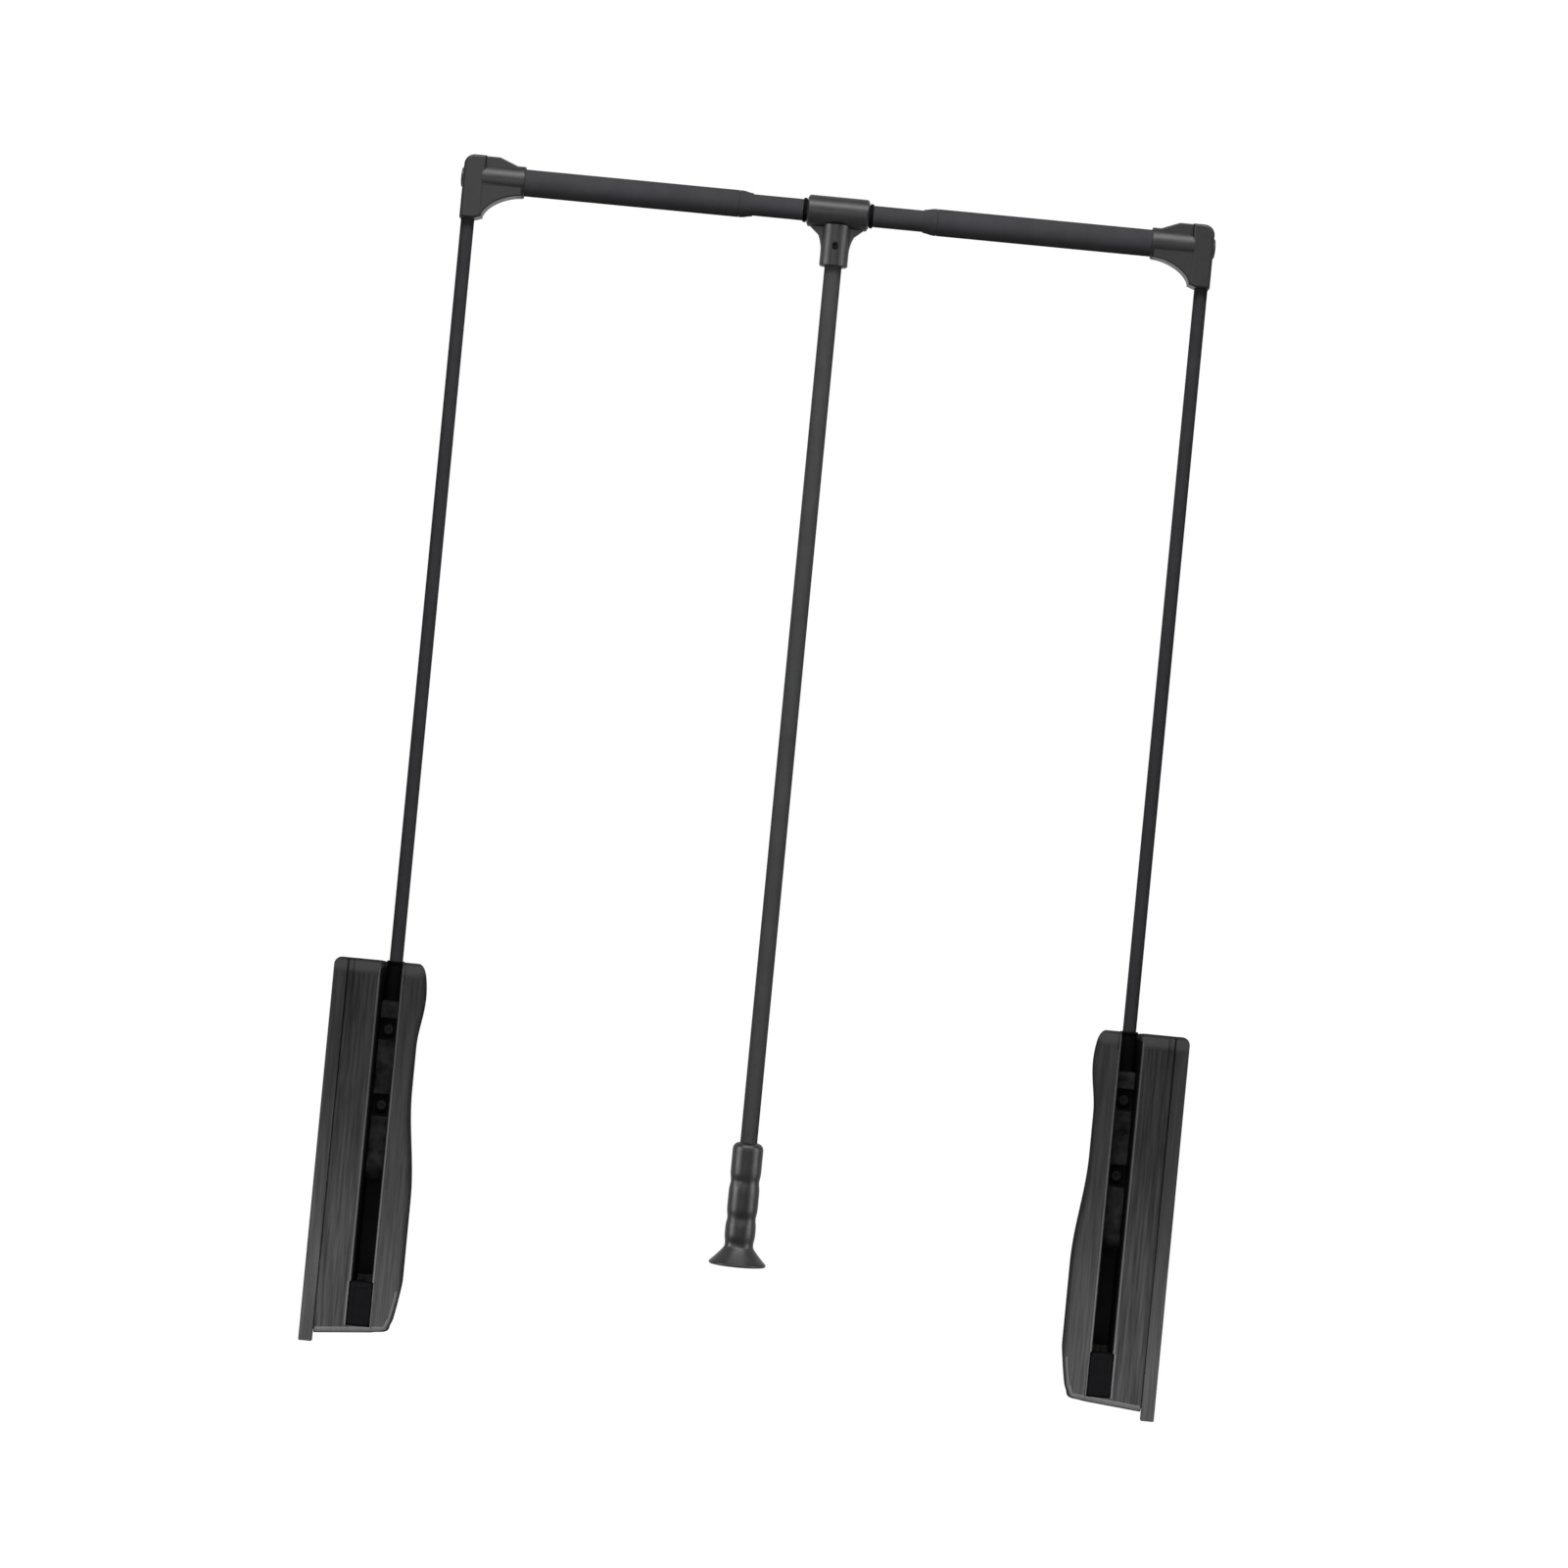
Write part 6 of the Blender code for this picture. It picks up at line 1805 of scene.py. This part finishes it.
    def grip_radius(self, height: float) -> float:
        """Radius of the grip without its finger dents.

        Args:
            height: World height.

        Returns:
            The radius.
        """
        radius, edge = self.grip_diameter / 2, self.grip_edge
        for valley in self.grip_valleys:
            radius -= self.valley_depth * math.exp(-((height - valley) / self.valley_width) ** 2)
        drop = self.grip_high.z - height
        if drop < edge:
            radius -= edge - math.sqrt(max(edge ** 2 - (edge - drop) ** 2, 0.0))
        return radius

    def dent(self, height: float, angle: float) -> float:
        """Depth of the finger dents at a height and an angle from the front.

        Args:
            height: World height.
            angle: Angle from the front.

        Returns:
            The depth.
        """
        depth = 0.0
        for valley, turn in zip(self.grip_valleys, self.dent_turns):
            spread = ((angle - turn) / self.dent_spread) ** 2
            depth += self.dent_depth * math.exp(-((height - valley) / self.dent_width) ** 2 - spread)
        return depth

    def grip(self) -> Solid:
        """Hand grip: three swells with finger dents in front, over a flared foot.

        Returns:
            The linked object.
        """
        foot, top = self.grip_low.z, self.grip_high.z
        cone_top, cone_foot = foot + self.cone_height, foot + self.rim_height
        turns = [math.pi / 2 * step / self.edge_steps for step in range(self.edge_steps + 1)]
        levels = [top - self.grip_edge * (1 - math.cos(turn)) for turn in turns]
        body = levels[-1] - cone_top
        levels += [levels[-1] - body * step / self.grip_rings for step in range(1, self.grip_rings + 1)]
        rings = [self.grip_ring(height, self.grip_radius(height), dented=True) for height in levels]
        neck = self.grip_radius(cone_top)
        rim, half = (self.grip_high.x - self.grip_low.x) / 2, self.rim_height / 2
        for step in range(1, self.cone_rings + 1):
            share = step / self.cone_rings
            radius = neck + (rim - half / 2 - neck) * share ** self.cone_power
            rings.append(self.grip_ring(cone_top + (cone_foot - cone_top) * share, radius))
        rings += [self.grip_ring(along, across)
                  for across, along in arc((rim - half, foot + half), half, 70, -90, steps=10)]
        rings.append(self.grip_ring(foot, rim - self.foot_ring))
        rings.append(self.grip_ring(foot + self.foot_hollow, rim - self.foot_ring - self.foot_slope))
        obj = loft("hand_grip", rings)
        socket = cylinder("grip_socket", self.rod_radius + FIT, (self.rod_low.z - FIT, top + OVERCUT),
                          self.rod_foot, UP)
        return shape(obj, Combine.CUT, socket)

    def grip_ring(self, height: float, radius: float, dented: bool = False) -> Ring:
        """Ring of the grip.

        Args:
            height: World height.
            radius: Radius without dents.
            dented: Whether the finger dents show at this height.

        Returns:
            The ring's points.
        """
        ring: Ring = []
        for step in range(FINE):
            angle = 2 * math.pi * step / FINE - math.pi
            here = radius - (self.dent(height, angle) if dented else 0.0)
            ring.append((self.rail.x + here * math.sin(angle), self.rail.y - here * math.cos(angle), height))
        return ring


@dataclass
class ReturnDrive(SubAssembly):
    """Hidden drive of one side: a smooth coil spring, and finishes for the CAD pieces that stay."""
    side: Side
    wire: float = 3.0 * MM
    turns: int = 7
    points_per_turn: int = 20
    travel: float = 44.0 * MM

    def __post_init__(self) -> None:
        """Read the spring's place from the frame."""
        self.low, self.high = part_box(self.side.named("spring"))
        self.middle = (self.low + self.high) / 2

    def build(self) -> None:
        """Make the spring."""
        mean = (self.high.y - self.low.y - self.wire) / 2
        count = self.turns * self.points_per_turn
        start, end = self.low.z + self.wire / 2, self.high.z - self.wire / 2
        points = []
        for step in range(count + 1):
            turn = -self.side.value * 2 * math.pi * step / self.points_per_turn
            points.append(Vector((self.middle.x + mean * math.cos(turn),
                                  self.middle.y + mean * math.sin(turn),
                                  start + (end - start) * step / count)))
        self.add(tube(self.side.named("coil_spring"), points, self.wire / 2), STEEL_FINISH,
                 self.side.named("housing"), self.side.named("spring"))

    def dress(self) -> None:
        """Finish the spring and the CAD pieces that stay, and give the spring its own mesh."""
        super().dress()
        spring = self.pieces[0].obj
        self.side.named("rack_slide")
        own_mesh(spring)
        kept = {
            STEEL_FINISH: ("pivot_shaft", "shaft_clip", "pinion", "rack"),
            ACETAL_FINISH: ("outer_bush", "inner_bush", "spring_guide", "damper_rotor", "rail_plug"),
            SHELL_FINISH: ("damper_body",),
        }
        for finish, names in kept.items():
            for name in names:
                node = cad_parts[self.side.named(name)]
                node.data.materials.clear()
                node.data.materials.append(finish.material())
                LOG.info("%s keeps its CAD shape in %s", node.name, finish.name)


# Studio

@dataclass(frozen=True)
class Softbox:
    """One soft lamp: its place, size and strength, and whether it fills matt faces and shines in gloss."""
    name: str
    place: tuple[float, float, float]
    size: tuple[float, float]
    watts: float
    fills: bool = True
    shines: bool = True

    def hang(self, target: Vector, reached: bpy.types.Collection | None = None) -> None:
        """Hang the lamp so that it faces a point.

        Args:
            target: The point that it faces.
            reached: The only pieces that its light reaches, or None where it reaches all.
        """
        lamp = bpy.data.lights.new(self.name, 'AREA')
        lamp.shape = 'RECTANGLE'
        lamp.size, lamp.size_y = self.size
        lamp.energy = self.watts
        obj = bpy.data.objects.new(self.name, lamp)
        bpy.context.scene.collection.objects.link(obj)
        obj.location = self.place
        obj.rotation_euler = (target - Vector(self.place)).to_track_quat('-Z', 'Y').to_euler()
        obj.visible_camera = False
        obj.visible_diffuse, obj.visible_glossy = self.fills, self.shines
        if reached is not None:
            obj.light_linking.receiver_collection = reached


@dataclass
class Studio:
    """Pale floor, white surroundings, soft lamps and the photograph's camera. Plain numbers are metres."""
    # Camera: its distance from the rail, a pixel's width there, its sensor's width in millimetres, how far
    # it sees, its roll, and where its middle looks
    distance: float = 4.2
    pixel: float = 0.8 * MM
    sensor: float = 36.0
    sight: float = 100.0
    roll: float = math.radians(5.5)
    axis_x: float = 0.6 * MM
    axis_z: float = 484.9 * MM
    # Floor: far enough down for the arms to swing, fading into the white room between two distances
    floor_drop: float = 0.55
    floor_size: float = 2.0
    floor_corner: float = 0.25
    floor_sheet: float = 0.02
    floor_fade: tuple[float, float] = (0.7, 1.02)
    floor_paint: str = "#f4f4f4"
    floor_roughness: float = 0.9
    floor_specular: float = 0.1
    # Light that the room and the floor send back to the object
    ambient: float = 0.07
    floor_bounce: float = 0.25
    # Main light, a fill from the front, and fills from behind that stay out of reflections
    boxes: tuple[Softbox, ...] = (
        Softbox("overhead_box", (0.0, -1.9, 3.2), (1.6, 1.1), 78.0),
        Softbox("front_box", (-0.4, -3.4, 0.9), (1.2, 1.2), 30.0),
        Softbox("left_back_box", (-2.3, 2.5, 1.6), (1.2, 1.6), 60.0, shines=False),
        Softbox("right_back_box", (2.3, 2.5, 1.6), (1.2, 1.6), 60.0, shines=False),
    )
    # Small lamps in front of the housings' feet, each for its own housing
    foot_boxes: tuple[Softbox, ...] = (
        Softbox("left_foot_box", (-0.34, -0.21, 0.03), (0.2, 0.06), 0.47),
        Softbox("right_foot_box", (0.34, -0.21, 0.03), (0.2, 0.06), 0.47),
    )
    # Highlights along the tops of the fittings
    top_boxes: tuple[Softbox, ...] = (
        Softbox("left_top_box", (-1.1, -1.65, 3.1), (1.0, 1.8), 108.0, fills=False),
        Softbox("right_top_box", (1.1, -1.65, 3.1), (1.0, 1.8), 108.0, fills=False),
    )
    # Upright highlights on the pull handle
    side_boxes: tuple[Softbox, ...] = (
        Softbox("left_side_box", (-1.9, -0.75, 0.55), (0.9, 1.6), 88.0, fills=False),
        Softbox("right_side_box", (1.9, -0.75, 0.55), (0.9, 1.6), 68.0, fills=False),
    )

    def set_up(self, pieces: Sequence[Dressed]) -> None:
        """Build the whole studio.

        Args:
            pieces: The dressed pieces, some of which get lamps of their own.
        """
        low, high = CAD_BOX
        middle = (low + high) / 2
        for box in self.boxes + self.top_boxes:
            box.hang(middle)
        for box, side in zip(self.foot_boxes, Side):
            body = side.named("housing")
            housing = self.group(f"{body}_pieces", (piece.obj for piece in pieces if piece.body == body))
            box.hang(Vector((box.place[0], low.y, box.place[2])), housing)
        handle = self.group("handle_fittings",
                            (piece.obj for piece in pieces if piece.body == "pull_handle"))
        for box in self.side_boxes:
            box.hang(middle, handle)
        self.light_surroundings()
        self.lay_floor(low.z - self.floor_drop)
        self.place_camera()
        bpy.context.scene.view_settings.view_transform = 'Standard'

    def group(self, name: str, objects: Iterable[Solid]) -> bpy.types.Collection:
        """Collection of the pieces that a lamp reaches.

        Args:
            name: Name of the collection.
            objects: The pieces' objects.

        Returns:
            The collection.
        """
        collection = bpy.data.collections.new(name)
        for obj in objects:
            collection.objects.link(obj)
        return collection

    def background_rays(self, tree: Tree) -> Socket:
        """1 for rays that see the background itself, straight, mirrored or through glass.

        Args:
            tree: Node tree of the world or the floor.

        Returns:
            The socket that tells them.
        """
        path = add_node(tree, "ShaderNodeLightPath")
        seen = add_node(tree, "ShaderNodeMath", {"operation": 'ADD'},
                        {"Value": path.outputs["Is Camera Ray"], "Value_001": path.outputs["Is Glossy Ray"]})
        return add_node(tree, "ShaderNodeMath", {"operation": 'ADD', "use_clamp": True},
                        {"Value": seen.outputs["Value"],
                         "Value_001": path.outputs["Is Transmission Ray"]}).outputs["Value"]

    def light_surroundings(self) -> None:
        """White to the eye and in reflections, and a plain grey light on the object."""
        world = bpy.data.worlds.new("white_room")
        bpy.context.scene.world = world
        world.use_nodes = True
        tree = world.node_tree
        strength = add_node(tree, "ShaderNodeMapRange", {"To Min": self.ambient, "To Max": 1.0},
                            {"Value": self.background_rays(tree)})
        tree.links.new(strength.outputs["Result"], tree.nodes["Background"].inputs["Strength"])
        tree.nodes["Background"].inputs["Color"].default_value = WHITE

    def lay_floor(self, height: float) -> None:
        """Pale floor that keeps the rod's shadow, and goes over into the white room away from it.

        Args:
            height: World height of the floor's top.
        """
        half = self.floor_size / 2
        corners = [(-half, -half), (half, -half), (half, half), (-half, half)]
        outline = rounded([(x, y, self.floor_corner) for x, y in corners], steps=8)
        floor = prism("pale_floor", outline, Axis.Z, (height - self.floor_sheet, height))
        material = bpy.data.materials.new("pale_floor_paint")
        material.use_nodes = True
        tree = material.node_tree
        shader = tree.nodes["Principled BSDF"]
        shader.inputs["Roughness"].default_value = self.floor_roughness
        shader.inputs["Specular IOR Level"].default_value = self.floor_specular
        shown = self.background_rays(tree)
        grey = (self.floor_bounce, self.floor_bounce, self.floor_bounce, 1.0)
        paint = add_node(tree, "ShaderNodeMix",
                         {"data_type": 'RGBA', "A_Color": grey, "B_Color": linear(self.floor_paint)},
                         {"Factor_Float": shown})
        tree.links.new(outlet(paint, "Result_Color"), shader.inputs["Base Color"])
        place = add_node(tree, "ShaderNodeTexCoord").outputs["Object"]
        away = add_node(tree, "ShaderNodeVectorMath", {"operation": 'LENGTH'}, {"Vector": place})
        fade = add_node(tree, "ShaderNodeMapRange",
                        {"interpolation_type": 'SMOOTHSTEP', "From Min": self.floor_fade[0],
                         "From Max": self.floor_fade[1]}, {"Value": away.outputs["Value"]})
        share = add_node(tree, "ShaderNodeMath", {"operation": 'MULTIPLY'},
                         {"Value": fade.outputs["Result"], "Value_001": shown})
        white = add_node(tree, "ShaderNodeEmission", {"Color": WHITE, "Strength": 1.0})
        seen = add_node(tree, "ShaderNodeMixShader", None,
                        {"Fac": share.outputs["Value"], "Shader": shader.outputs["BSDF"],
                         "Shader_001": white.outputs["Emission"]})
        tree.links.new(seen.outputs["Shader"], tree.nodes["Material Output"].inputs["Surface"])
        floor.data.materials.append(material)

    def place_camera(self) -> None:
        """Camera of the photograph: level, far off and rolled."""
        data = bpy.data.cameras.new("camera")
        camera = bpy.data.objects.new("camera", data)
        bpy.context.scene.collection.objects.link(camera)
        data.sensor_width = self.sensor
        data.lens = self.sensor * self.distance / (PHOTO_PIXELS * self.pixel)
        data.clip_end = self.sight
        right = Vector((math.cos(self.roll), 0.0, math.sin(self.roll)))
        up = Vector((-math.sin(self.roll), 0.0, math.cos(self.roll)))
        back = Vector(FORWARD)
        turn = Matrix((right, up, back)).transposed().to_4x4()
        place = (self.axis_x, middle_of("inner_rail_tube").y - self.distance, self.axis_z)
        camera.matrix_world = Matrix.Translation(place) @ turn
        bpy.context.scene.camera = camera


def main() -> None:
    """Build and dress every sub-assembly, then the studio."""
    assemblies: list[SubAssembly] = []
    for side in Side:
        assemblies += [Housing(side), SwingArm(side), ReturnDrive(side)]
    assemblies += [HangingRail(), PullHandle()]
    for assembly in assemblies:
        LOG.info("building %s", type(assembly).__name__)
        assembly.build()
        assembly.dress()
    pieces = [piece for assembly in assemblies for piece in assembly.pieces]
    Studio().set_up(pieces)


if __name__ == "__main__":
    main()
